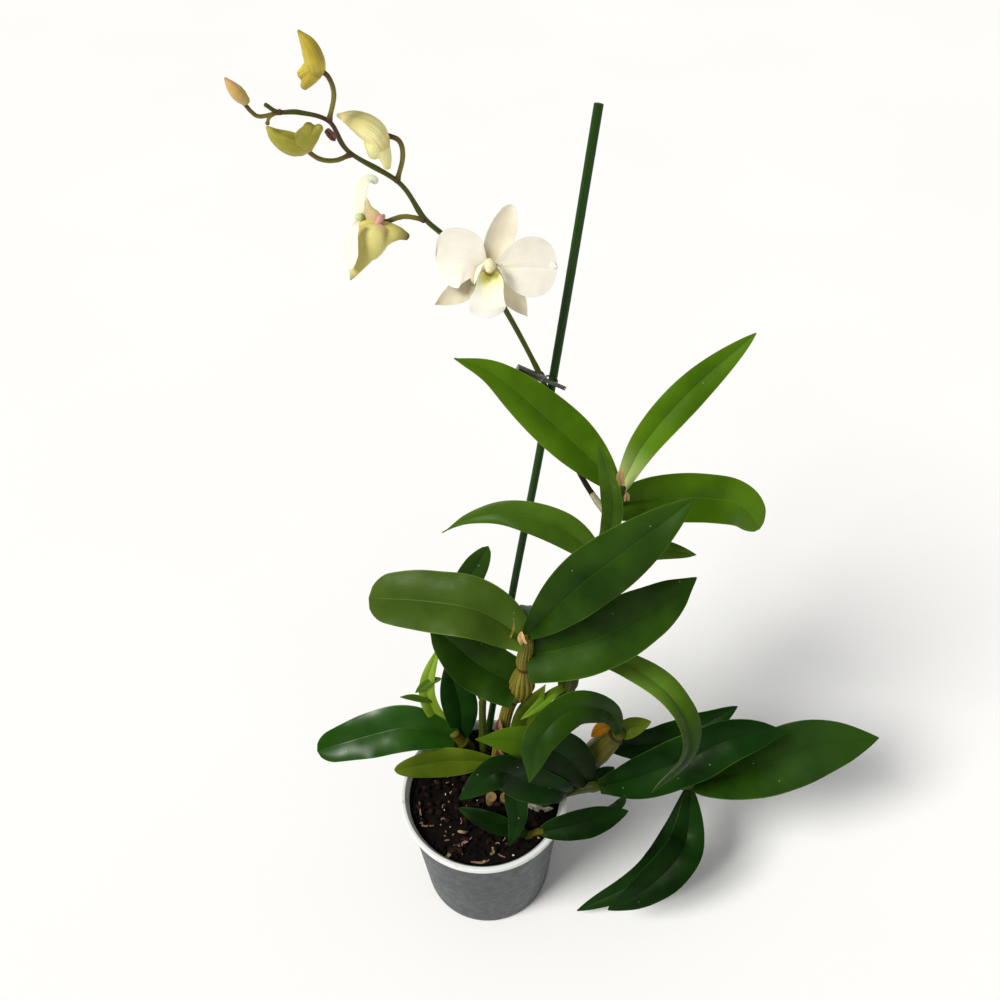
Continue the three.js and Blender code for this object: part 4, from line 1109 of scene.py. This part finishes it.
LEAVES = {
    "leaf_front_left": dict(
        outline=BLUNT, width=39, face=[(0, -0.5, 0.85)], looks="leaf_front",
        spine=[(30, 15, 268), (3, 18, 293), (-31, 27, 293), (-66, 35, 288)]),
    "leaf_front_right": dict(
        width=35, root_end=0.85, widest=0.52, looks="leaf_deep",
        spine=[(31, 15, 271), (62, 8, 326), (93, 4, 367), (120, 8, 394)]),
    "leaf_front_lower_right": dict(
        outline=FULL_ROOT, cup=0.15, width=41, looks="leaf_deep",
        spine=[(31, 17, 248), (70, 12, 268), (102, 12, 294), (131, 16, 321)]),
    "leaf_front_lower_left": dict(
        outline=FULL_ROOT, width=37, looks="leaf_deep",
        spine=[(27, 20, 211), (1, 30, 222), (-15, 36, 237), (-31, 40, 253)]),
    "leaf_front_back": dict(
        width=20, face=[(0, -0.3, 1)], looks="leaf_mid",
        spine=[(31, 16, 265), (35, 36, 264), (39, 56, 250)]),
    "leaf_tall_left": dict(
        width=28, widest=0.4, tip_end=0.9, root_end=0.8, looks="leaf_fresh",
        spine=[(86, 49, 362), (65, 57, 386), (39, 64, 412), (16, 66, 435), (-5, 64, 448)]),
    "leaf_tall_right": dict(
        width=20, root_end=0.9, root_width=0.35, looks="leaf_pale_root",
        spine=[(87, 50, 362), (101, 60, 389), (126, 70, 418), (157, 75, 451)]),
    "leaf_tall_drooping": dict(
        outline=HANGING, width=30, looks="leaf_fresh",
        spine=[(86, 49, 350), (115, 58, 345), (144, 64, 338), (166, 68, 327), (181, 68, 306)]),
    "leaf_tall_upright": dict(
        width=14, face=[(-0.5, -0.7, 0.3)], looks="leaf_mid",
        spine=[(79, 42, 322), (82, 36, 355), (79, 34, 381), (71, 34, 410)]),
    "leaf_tall_lower_left": dict(
        width=21, widest=0.3, tip_end=1.3, looks="leaf_mid",
        spine=[(77, 43, 311), (53, 50, 330), (23, 58, 336), (-1, 60, 331), (-19, 60, 319)]),
    "leaf_tall_lower_right": dict(
        width=13, looks="leaf_mid", spine=[(76, 43, 300), (110, 54, 304), (141, 60, 292)]),
    "leaf_tall_arching": dict(
        width=22, face=[(0.2, -0.4, 0.8), (0.8, -0.5, 0.4), (0.4, -0.9, 0.1)],
        looks="leaf_arch", slot="fresh_leaf",
        spine=[(66, 31, 232), (96, 20, 231), (125, 2, 218), (137, -16, 188), (114, -26, 149)]),
    "leaf_tall_small": dict(
        width=7, looks="leaf_light", slot="fresh_leaf",
        spine=[(60, 26, 202), (49, 16, 208), (37, 8, 203), (27, 4, 196)]),
    "leaf_tall_base": dict(
        width=21, widest=0.55, tip_end=1, looks="leaf_olive",
        spine=[(40, 17, 120), (31, 14, 155), (33, 14, 188), (43.5, 14, 220.5)]),
    "leaf_left_low": dict(
        outline=SQUARE_END, width=35, face=[(0, -0.6, 0.8)], looks="leaf_streaked",
        spine=[(-21, 37, 125), (-53, 36, 140), (-82, 34, 135), (-122, 30, 122)]),
    "leaf_left_upright": dict(
        width=26, root_end=0.8, looks="leaf_dark",
        spine=[(-16, 39, 118), (-16, 47, 152), (-23, 53, 194)]),
    "leaf_left_narrow": dict(
        width=12, looks="leaf_light", slot="fresh_leaf",
        spine=[(-17, 39, 109), (-36, 45, 150), (-38, 50, 176), (-28, 56, 209)]),
    "leaf_left_base": dict(
        width=21, tip_end=0.5, root_end=0.8, looks="leaf_olive",
        spine=[(9, 24, 112), (-28, 22, 116), (-65, 15, 118)]),
    "leaf_back_left": dict(
        outline=WIDE_TIP, width=20, looks="leaf_deep",
        spine=[(1, 45, 164), (-9, 54, 218), (-7, 60, 264), (9, 64, 301)]),
    "leaf_bulb_arching": dict(
        outline=HOOKED, width=25, face=[OUT, (0, -0.8, 0.6), (-0.6, -0.8, 0)], looks="leaf_deep",
        spine=[(95, 9, 166), (84, 0, 208), (61, -8, 226), (39, -22, 215), (31, -34, 181)]),
    "leaf_bulb_back": dict(
        width=26, root_end=0.8, looks="leaf_dark",
        spine=[(84, 12, 148), (128, 24, 131), (160, 30, 144), (182, 34, 159)]),
    "leaf_bulb_small": dict(
        width=14, widest=0.4, looks="leaf_olive", spine=[(93, 11, 163), (103, 13, 169), (117, 15, 172)]),
    "leaf_low_middle": dict(
        outline=EARLY, width=36, looks="leaf_dark",
        spine=[(81, -9, 130), (112, -4, 134), (145, 2, 146), (173, 6, 162), (211, 10, 163)]),
    "leaf_low_far": dict(
        width=45, face=[(0, -0.5, 0.87)], tip_end=0.85, looks="leaf_far",
        spine=[(150, 4, 104), (197, 10, 115), (241, 20, 124), (290, 28, 122)]),
    "leaf_low_hanging_back": dict(
        width=21, root_end=0.9, looks="leaf_dark",
        spine=[(149, 5, 103), (141, -8, 68), (129, -23, 49), (109, -36, 34), (67, -45, 9)]),
    "leaf_low_hanging_front": dict(
        width=29, root_end=0.8, looks="leaf_dark",
        spine=[(150, 3, 102), (147, -20, 78), (138, -36, 72), (115, -50, 55), (88, -56, 35)]),
    "leaf_base_left": dict(
        outline=SWOLLEN, width=34, looks="leaf_base", clasp=0.4,
        spine=[(74, -6, 130), (55, -4, 164), (27, -8, 189), (-3, -12, 199)]),
    "leaf_base_arching": dict(
        width=26, root_end=0.8, looks="leaf_dark",
        spine=[(60, -9, 122), (53, -17, 139), (30, -22, 161), (11, -28, 185), (-15, -34, 162)]),
    "leaf_base_down": dict(
        width=16, looks="leaf_dark",
        spine=[(46, -8, 112), (24, -22, 152), (23, -34, 134), (17, -43, 112)]),
    "leaf_base_small": dict(
        width=14, looks="leaf_dark", spine=[(30, -32, 108), (3, -26, 117), (-18, -18, 121)]),
    "leaf_base_right": dict(
        width=21, looks="leaf_dark", spine=[(38, -34, 115), (70, -32, 122), (100, -26, 125)]),
}
TORN = dict(root_width=0.8, tip_end=0.6, cup=0.5, columns=8, rows=10, thick=0.5)
SHEATHS = {
    "torn_sheath_front": [(29, 12, 269), (27.8, 11, 275), (28.2, 11, 281)],
    "torn_sheath_tall": [(86.4, 46.5, 369), (85.6, 45.4, 375.6), (86.4, 46, 382)],
}
SMALL_LEAVES = {  # width, look, spine
    "blade_tip_left": (6, "leaf_mid", [(-28.1, 50.5, 179.5), (-37.3, 49, 177.1), (-47, 46.5, 168.7)]),
    "blade_sliver_left": (5, "leaf_mid", [(-36, 45.4, 158.6), (-48.6, 45, 165.1), (-57.8, 44, 167.5)]),
    "blade_tip_right": (7, "leaf_dark", [(85, -22, 120), (92, -23, 127), (97.5, -24, 143)]),
    "blade_bulb_ripe": (13, "leaf_orange", [
        (104, 14, 154), (95.7, 14, 167.2), (84.6, 14, 167.6), (76.2, 13, 158.4)]),
    "blade_low_root": (14, "leaf_dark", [(73.1, -7, 122.5), (81.9, -5, 133.6), (91.9, 0, 139.2)]),
}
HUSKS = {  # width, look, spine
    "husk_tall_low": (3.4, "husk", [(90.4, 45, 358), (90.3, 44.6, 361.4), (90.2, 44.4, 364.6)]),
    "husk_front_upper": (6, "husk_red", [(12.9, 18, 157.9), (11.7, 17.4, 168), (12.6, 17.4, 177)]),
    "husk_front_lower": (6, "husk_red", [(13, 17, 128), (11.4, 16, 136), (10.4, 16, 143)]),
    "thread_front": (1.2, "thread", [
        (19.7, 12, 269.4), (21.7, 11, 277.3), (23.6, 12, 285), (23.4, 13, 291.8)]),
}


def make_leaves():
    """Leaves, the torn ends of two sheaths, and small leaves and husks that ride along."""
    for seed, (node, leaf) in enumerate(LEAVES.items()):
        shape = {key: value for key, value in leaf.items() if key != "slot"}
        shape.setdefault("face", [OUT])
        piece = blade(wave=LEAF_RIPPLE * shape["width"], seed=seed, **shape)
        hand_over(piece, node.replace("leaf", "blade"), None, leaf.get("slot", "leaf"), node, smooth=60)
    for seed, (node, spine) in enumerate(SHEATHS.items()):
        piece = blade(spine, SHEATH_WIDTH, [OUT], "husk", wave=0.4, seed=seed, **TORN)
        hand_over(piece, node.replace("torn", "dry"), None, "dry_husk", node)
    for seed, (name, (width, looks, spine)) in enumerate(SMALL_LEAVES.items()):
        piece = blade(spine, width, [OUT], looks, columns=12, rows=24, seed=seed)
        hand_over(piece, name, None, "leaf", smooth=60)
    for seed, (name, (width, looks, spine)) in enumerate(HUSKS.items()):
        piece = blade(spine, width, [OUT], looks, wave=0.1 * width, seed=seed, **TORN)
        hand_over(piece, name, None, "dry_husk")


# ---------------------------------------------------------------- buds and spike
BUDS = {  # each a body from its stalk to its tip, then its lobe and its spur from their ends inwards
    "bud_top": ("bud", [
        ([(-55.6, 66, 599), (-55.9, 66, 602.7), (-57.4, 66, 609.3), (-60.9, 66, 615.6)],
         [(0, 3.7), (0.2, 4.5), (0.45, 4.2), (0.7, 3.1), (0.9, 1.5), (1, 0.5)]),
        ([(-63, 67.2, 597), (-60.3, 67, 598.4), (-56.9, 66.4, 600.6)],
         [(0, 2.1), (0.5, 3.3), (1, 3.6)]),
        ([(-62.4, 66.6, 592.2), (-60.4, 66.6, 594.6), (-57, 66.4, 598.6)],
         [(0, 1.7), (0.5, 3.1), (1, 3.8)])]),
    "bud_right": ("bud_pale", [
        ([(-32.8, 76, 561.8), (-36.7, 76, 568), (-43.8, 76, 572.8), (-51, 76, 575.4)],
         [(0, 4.8), (0.2, 6.1), (0.45, 5.8), (0.7, 4.4), (0.9, 2.1), (1, 0.5)]),
        ([(-37, 76.4, 555.8), (-36, 76.2, 559.6), (-34.8, 76, 565)], [(0, 2.6), (0.45, 5), (1, 5.6)]),
        ([(-31.2, 76.6, 549.8), (-31.4, 76.4, 554), (-33, 76, 560.4)],
         [(0, 1.7), (0.45, 3), (1, 4.4)])]),
    "bud_left": ("bud_green", [
        ([(-66.2, 64, 566.9), (-71.6, 64, 568.2), (-77.2, 64, 571.6), (-80.9, 64, 576.2)],
         [(0, 4.3), (0.25, 5.3), (0.5, 4.8), (0.75, 3.2), (0.92, 1.5), (1, 0.5)]),
        ([(-62.2, 64.4, 576), (-63.6, 64.2, 573), (-67.2, 64, 568.4)],
         [(0, 2.3), (0.45, 3.8), (1, 4.6)]),
        ([(-57.6, 64.6, 575.1), (-60.6, 64.4, 572.6), (-65.6, 64, 567.9)],
         [(0, 1.7), (0.45, 3.3), (1, 4.4)])]),
    "bud_small": ("bud_tan", [
        ([(-84.4, 50, 593.4), (-86.4, 50, 595.9), (-89, 50, 599.6), (-91.1, 50, 603.3)],
         [(0, 2), (0.2, 2.9), (0.45, 3.1), (0.75, 2.1), (0.93, 0.9), (1, 0.4)]),
        ([(-84.2, 49.6, 592.8), (-84.8, 49.8, 594.4), (-86, 50, 596.6)], [(0, 1.5), (1, 2.4)])]),
}
SEAMS = (0.9, 2.9, 5.0)  # the angles where a bud's sepals meet
SEAM_DEPTH = 0.13
SEAM_BREADTH = 0.1


def make_buds():
    """Buds of folded sepals, each with a lobe and a spur that flow into its body."""
    def body_radius(radii):
        def radius(t, angle):
            away = [math.remainder(angle + 0.5 * t - a, TAU) / SEAM_BREADTH for a in SEAMS]
            seam = sum(math.exp(-a ** 2) for a in away) * math.sin(math.pi * min(t * 1.05, 1))
            return soft_along(radii, t, 0.06) * (1 - SEAM_DEPTH * seam + 0.008 * math.sin(17 * angle))

        return radius

    for node, (looks, parts) in BUDS.items():
        shapes = []
        for k, (spine, radii) in enumerate(parts):
            radius = body_radius(radii) if k == 0 else knotted(radii, grain=0.01, reach=0.1)
            shapes.append(tube(spine, radius, around=56, steps=44, domes=(0.7, 0.6)))
        bud = shapes[0]
        for lobe in shapes[1:]:
            modify(bud, "BOOLEAN", operation="UNION", object=lobe, solver="EXACT")
            bpy.data.objects.remove(lobe)
        modify(bud, "SMOOTH", factor=0.6, iterations=9)
        hand_over(bud, node + "_sepals", looks, "bud", node, smooth=60)


SPIKE_LINE = [
    (80, 46, 344), (65, 62, 363), (54, 80, 386), (42, 96, 412), (22, 98, 457), (5, 94, 488),
    (-6, 92, 503), (-17, 90, 516), (-27, 84, 538), (-48, 76, 558), (-54, 70, 575), (-65, 62, 583),
    (-73, 56, 586), (-77, 52, 591),
]
SPIKE_KNOTS = [0.13, 0.3, 0.47, 0.6, 0.68, 0.79, 0.86, 0.95]
SPIKE_SLEEVES = {  # start, end, radii and look of the pale sheath, and of the near-black sleeve above it, which is painted shadow
    "spike_sheath": (0.003, 0.05, [(0, 1.8), (0.6, 2.1), (1, 1.85)], "spike_sheath"),
    "spike_shadow_sleeve": (0.045, 0.15, [(0, 1.7), (1, 1.62)], "spike_painted_shadow"),
}
STALKS = {  # spine, radius
    "stalk_bud_top": ([(-54, 69, 576), (-50, 67, 588), (-51, 66, 596), (-55, 66, 600)], 1.1),
    "stalk_bud_right": ([(-28, 84, 539), (-24, 82, 552), (-25, 80, 561), (-32, 78, 565)], 1.2),
    "stalk_bud_left": ([(-47, 76, 557), (-54, 72, 556), (-61, 68, 559), (-67, 64, 567)], 1.1),
    "stalk_tip": ([(-73.2, 55.8, 586.1), (-77.6, 58, 583), (-79.8, 61.6, 578.8)], 0.75),
    "stalk_bud_small": ([(-72, 56, 586), (-80, 52, 586), (-83, 50, 589), (-86, 50, 594)], 0.9),
    "stalk_side_flower": ([(-17, 90, 515), (-27, 88, 518), (-37, 86, 516)], 1.25),
    "stalk_front_flower": ([(3, 94, 489), (8, 90, 486), (15, 79, 491)], 1.2),
}
BRACT_LINE = [(-57.6, 80, 567.4), (-56, 80, 565), (-54.4, 80.5, 561.4)]


def make_spike():
    """The flowering stem with its sheath, its stalks and one withered bract."""
    radius = knotted([(0, 1.5), (0.5, 1.5), (1, 0.9)], SPIKE_KNOTS, 0.18, grain=0.03)
    hand_over(tube(SPIKE_LINE, radius, 20, 220), "spike_stem", "spike", "spike", "flower_spike")
    line = Strand(SPIKE_LINE)
    for name, (start, end, radii, looks) in SPIKE_SLEEVES.items():
        spine = [line.walk(start + (end - start) * k / 5)[0] for k in range(6)]
        sleeve = tube(spine, knotted(radii, grain=0.05), 24, 30, domes=(0.1, 0.1))
        hand_over(sleeve, name, looks, "spike")
    for name, (spine, r) in STALKS.items():
        radius = knotted([(0, r * 1.5), (0.1, r), (0.85, r), (1, r * 1.35)], grain=0.04)
        hand_over(tube(spine, radius, 16, 36), name, "stalk", "spike")
    bract = blade(BRACT_LINE, 3.6, [(0, -0.9, 0.4)], "bract", cup=0.6, root_width=0.7, columns=8,
                  rows=14, thick=0.4, wave=0.3)
    hand_over(bract, "bract_withered", None, "spike")


# ---------------------------------------------------------------- flowers
BROAD = [(0, 0.13), (0.15, 0.4), (0.35, 0.84), (0.55, 1), (0.72, 0.97), (0.86, 0.8), (0.95, 0.6),
         (1, 0.48)]
POINTED = [(0, 0.5), (0.3, 1), (0.6, 0.85), (0.85, 0.42), (1, 0.03)]
ROUNDED = [(0, 0.6), (0.2, 0.9), (0.38, 1), (0.65, 0.88), (0.82, 0.66), (0.93, 0.46), (1, 0.3)]
WAISTED = [(0, 0.4), (0.2, 0.86), (0.34, 0.88), (0.47, 0.74), (0.62, 0.96), (0.8, 1), (0.92, 0.8),
           (1, 0.46)]
WEDGE = [(0, 0.35), (0.12, 0.72), (0.3, 1), (0.5, 0.86), (0.75, 0.5), (0.92, 0.2), (1, 0.04)]
FAN = [(0, 0.3), (0.3, 0.8), (0.6, 1), (0.85, 0.9), (1, 0.6)]
SLIM_FAN = [(0, 0.3), (0.2, 0.62), (0.5, 1), (0.78, 0.92), (1, 0.35)]
NARROW = [(0, 0.5), (0.5, 1), (1, 0.3)]
STRAP = [(0, 0.5), (0.2, 0.9), (0.5, 1), (0.85, 0.9), (1, 0.7)]
ROOT_FOLD = [(0, 0.9), (0.4, 0.95), (0.7, 0.5), (1, 0.1)]
SEPAL_CURL = [(0, 40), (1, 30)]
SQUEEZED = {"funnel": 0.22}  # looks of the round parts that are oval
SQUEEZED_AT = math.radians(225)
FLOWER_SLOTS = {"petals": "petal", "lip": "lip"}

# Points are across, up and out from a flower's centre. Each petal is its label, node, width, spine
# and what else sets it apart, and each tube its label, node, look, spine and radii.
FRONT = dict(
    centre=(15, 78, 492), out=(0.04, -0.85, 0.52), up=(0, 0.52, 0.85),
    petals=[
        ("upper_sepal", "petals", 16, [(1.5, 3, 0), (4.8, 13, -1), (8.4, 22, -2), (12.4, 32.2, -3)],
         dict(looks="sepal", outline=ROUNDED, curl=[(0, 45), (1, 30)])),
        ("left_sepal", "petals", 14, [(-3, -2, 0), (-14, -9, -2), (-28.3, -16.3, -4)],
         dict(looks="sepal_in_painted_shade", outline=POINTED, curl=SEPAL_CURL)),
        ("right_sepal", "petals", 14, [(3, -3, 0), (11, -12, -2), (19.2, -23.6, -4)],
         dict(looks="sepal", outline=POINTED, curl=SEPAL_CURL)),
        ("left_petal", "petals", 31, [(-1, 1, 1), (-13, 6.4, 2), (-27, 5.6, 0)],
         dict(outline=BROAD, curl=[(0, 30), (1, 18)], wave=0.2, dents=[
             (-0.45, 0.72, 0.5, 0.35, 0.5), (0.35, 0.6, 0.5, 0.4, 0.4), (0.62, 1.0, 0.16, 0.1, -1.2)])),
        ("right_petal", "petals", 31, [(1, 1, 1), (17, 1.3, 1.8), (34.8, 0.5, 0)],
         dict(outline=BROAD, curl=[(0, 25), (1, 12)], wave=0.2, dents=[
             (0, 0.45, 0.06, 0.4, -0.5), (-0.12, 0.98, 0.14, 0.05, 2.2), (0.5, 0.6, 0.5, 0.4, 0.3)])),
        # Painted shade: a small dark olive sheet beside the left lobe, put where the throat lies in
        # shade.
        ("left_shade_sheet", "lip", 6.5, [(-2, 2.5, 4), (-6.8, -0.8, 6), (-8.4, -6.2, 6.5)],
         dict(looks="sepal_in_painted_shade", face=[(-0.3, 0.2, 0.9)], outline=NARROW, columns=12)),
        ("left_lobe", "lip", 5, [(0.5, 5, 8.5), (-5, 1.6, 11), (-8, -6.3, 11)],
         dict(looks="lobe", face=[(-0.85, 0.35, 0.4)], outline=NARROW, columns=12)),
        ("right_lobe", "lip", 4.5, [(2, 3.6, 8), (6, 0, 10), (8.2, -6.5, 10)],
         dict(looks="lobe", face=[(0.8, 0.3, 0.5)], outline=NARROW, columns=12)),
        ("lip_blade", "lip", 19,
         [(0, -2, 3), (0, -6, 7), (-0.8, -11, 9.6), (-1.8, -16.5, 10.2), (-1.8, -23.4, 9)],
         dict(looks="lip", outline=WAISTED, curl=[(0, 100), (0.3, 70), (0.5, 25), (0.75, 4), (1, -8)],
              columns=32, rows=40, wave=0.5)),
    ],
    tubes=[
        ("spur", "petals", "mentum", [(0, 1.5, 1), (0, -1, -1), (0, -4, -7), (0, -8, -13)],
         [(0, 3.4), (0.2, 3.8), (0.7, 3), (1, 1.2)]),
        ("column", "lip", "column", [(0, -0.5, 1.5), (0, 2.2, 5.5), (0, 3.6, 9)],
         [(0, 3), (0.6, 3.3), (1, 2.4)]),
        ("anther", "lip", "anther", [(0, 4, 8), (-0.2, 2.6, 10.6), (-0.5, 0.4, 11.6)],
         [(0, 2.4), (0.4, 3.2), (0.8, 2.8), (1, 1.6)]),
    ])
SIDE = dict(
    centre=(-39, 85, 515), out=(-0.97, -0.03, -0.12), up=(-0.1, 0.7, 0.7),
    petals=[
        ("upper_sepal", "petals", 9,
         [(0, 1.5, 4.4), (0, 6, 8), (0, 11, 8.2), (0, 16.4, 7.2), (0, 21, 5.6), (0, 23.4, 3.1),
          (0, 23.2, 0.4), (0, 20.8, -0.8)],
         dict(looks="petal_green", outline=STRAP, rows=48,
              face=[*[(0.75, 0, 0.65)] * 3, (0.7, 0.3, 0.5), (0.7, 0.7, 0), (0.6, 0.2, -0.75)])),
        ("sepal_root", "petals", 9, [(3.5, -0.2, -1), (4, 3.4, 2.2), (3.6, 8, 4.2), (3, 13.8, 4)],
         dict(looks="fin", outline=ROOT_FOLD, face=[(-0.9, 0, -0.3)], curl=[(0, 50), (1, 30)],
              columns=12)),
        ("left_sepal", "petals", 10,
         [(-3, -4, 0), (-4.5, -8.5, 4.5), (-5, -13, 9.5), (-4, -18, 14), (-3, -23, 17)],
         dict(looks="shaded_fin", outline=WEDGE, face=[(1, 0, 0)], curl=[(0, 60), (0.5, 50), (1, 20)])),
        ("right_sepal", "petals", 17,
         [(6.2, -1.6, -2), (8.2, -5.2, 1.8), (8.4, -10.2, 6.2), (7.4, -16.6, 11), (6.4, -26.2, 17)],
         dict(looks="outer_sepal", outline=WEDGE, face=[(-1, 0, 0)],
              curl=[(0, 54), (0.5, 42), (1, 20)])),
        ("left_petal", "petals", 20, [(-3, -4.5, 7.6), (-9, -7, 11.8), (-15, -8.6, 15.4)],
         dict(outline=FAN, face=[(0.35, 0, 0.93)])),
        ("right_petal", "petals", 9.6,
         [(12, 0.3, 8.2), (12, -3.8, 10.6), (12, -10.5, 12.9), (12, -16, 13.6), (12, -22.4, 14.8)],
         dict(outline=SLIM_FAN, face=[(0.9, 0, 0.4)], curl=[(0, 35), (1, 25)])),
        ("lip_blade", "lip", 11, [(0, 1, 7), (0, -4, 11.5), (0, -9.4, 15.6), (0, -13.6, 17.4)],
         dict(looks="lip", outline=WAISTED, curl=[(0, 90), (0.5, 50), (1, -10)])),
        ("left_lobe", "lip", 4, [(-1, 3, 7), (-3, 0, 10), (-3.5, -5, 12)],
         dict(looks="lobe", face=[(-1, 0, 0.3)])),
        ("right_lobe", "lip", 4, [(1, 3, 7), (3, 0, 10), (3.5, -5, 12)],
         dict(looks="lobe", face=[(1, 0, 0.3)])),
    ],
    tubes=[
        ("spur", "petals", "funnel",
         [(0, -7.4, -12.8), (0, -5.2, -8.6), (0, -4.2, -3), (0.5, -5, 2.6), (1, -7, 8)],
         [(0, 1.4), (0.22, 3), (0.5, 5.2), (0.75, 7.6), (1, 8.4)]),
        ("joint", "petals", "joint", [(5, 3, -3.4), (6.4, 1.6, -1.8), (6, -0.4, 0)],
         [(0, 1.1), (0.5, 1.7), (1, 1.2)]),
        ("column", "lip", "column_green", [(2.5, 5, 8), (3, 5, 10)],
         [(0, 1.9), (0.6, 1.9), (1, 1.7)]),
    ])


def make_flower(name, plan):
    """Petals and round parts, laid out across, up and out of the flower's own face."""
    out = Vector(plan["out"]).normalized()
    across = Vector(plan["up"]).cross(out).normalized()
    turn = Matrix((across, out.cross(across), out)).transposed()

    def at(points):
        return [Vector(plan["centre"]) + turn @ Vector(p) for p in points]

    for seed, (label, node, width, spine, more) in enumerate(plan["petals"]):
        settings = dict(looks="petal", face=[(0, 0, 1)], thick=PETAL_THICK, cup=0.1, arch=0.03,
                        clasp=0.5, columns=24, rows=32, wave=PETAL_RIPPLE * width, seed=seed)
        settings.update(more)
        settings["face"] = [turn @ Vector(way) for way in settings["face"]]
        piece = blade(at(spine), width, **settings)
        hand_over(piece, f"{name}_{label}", None, FLOWER_SLOTS[node], f"{name}_{node}", smooth=60)
    for label, node, looks, spine, radii in plan["tubes"]:
        squeeze = SQUEEZED.get(looks, 0.0)
        radius = knotted(radii, grain=0.01, reach=0.08, oval=squeeze, oval_at=SQUEEZED_AT)
        piece = tube(at(spine), radius, 32, 30, domes=(0.7, 0.8))
        hand_over(piece, f"{name}_{label}", looks, FLOWER_SLOTS[node], f"{name}_{node}", smooth=60)


# ---------------------------------------------------------------- the whole plant
add_camera()
FINISHES = make_finishes()
add_studio()
make_pot()
make_stake()
make_clip()
make_mix()
make_canes()
make_leaves()
make_buds()
make_spike()
make_flower("flower_front", FRONT)
make_flower("flower_side", SIDE)
bpy.ops.object.select_all(action="DESELECT")
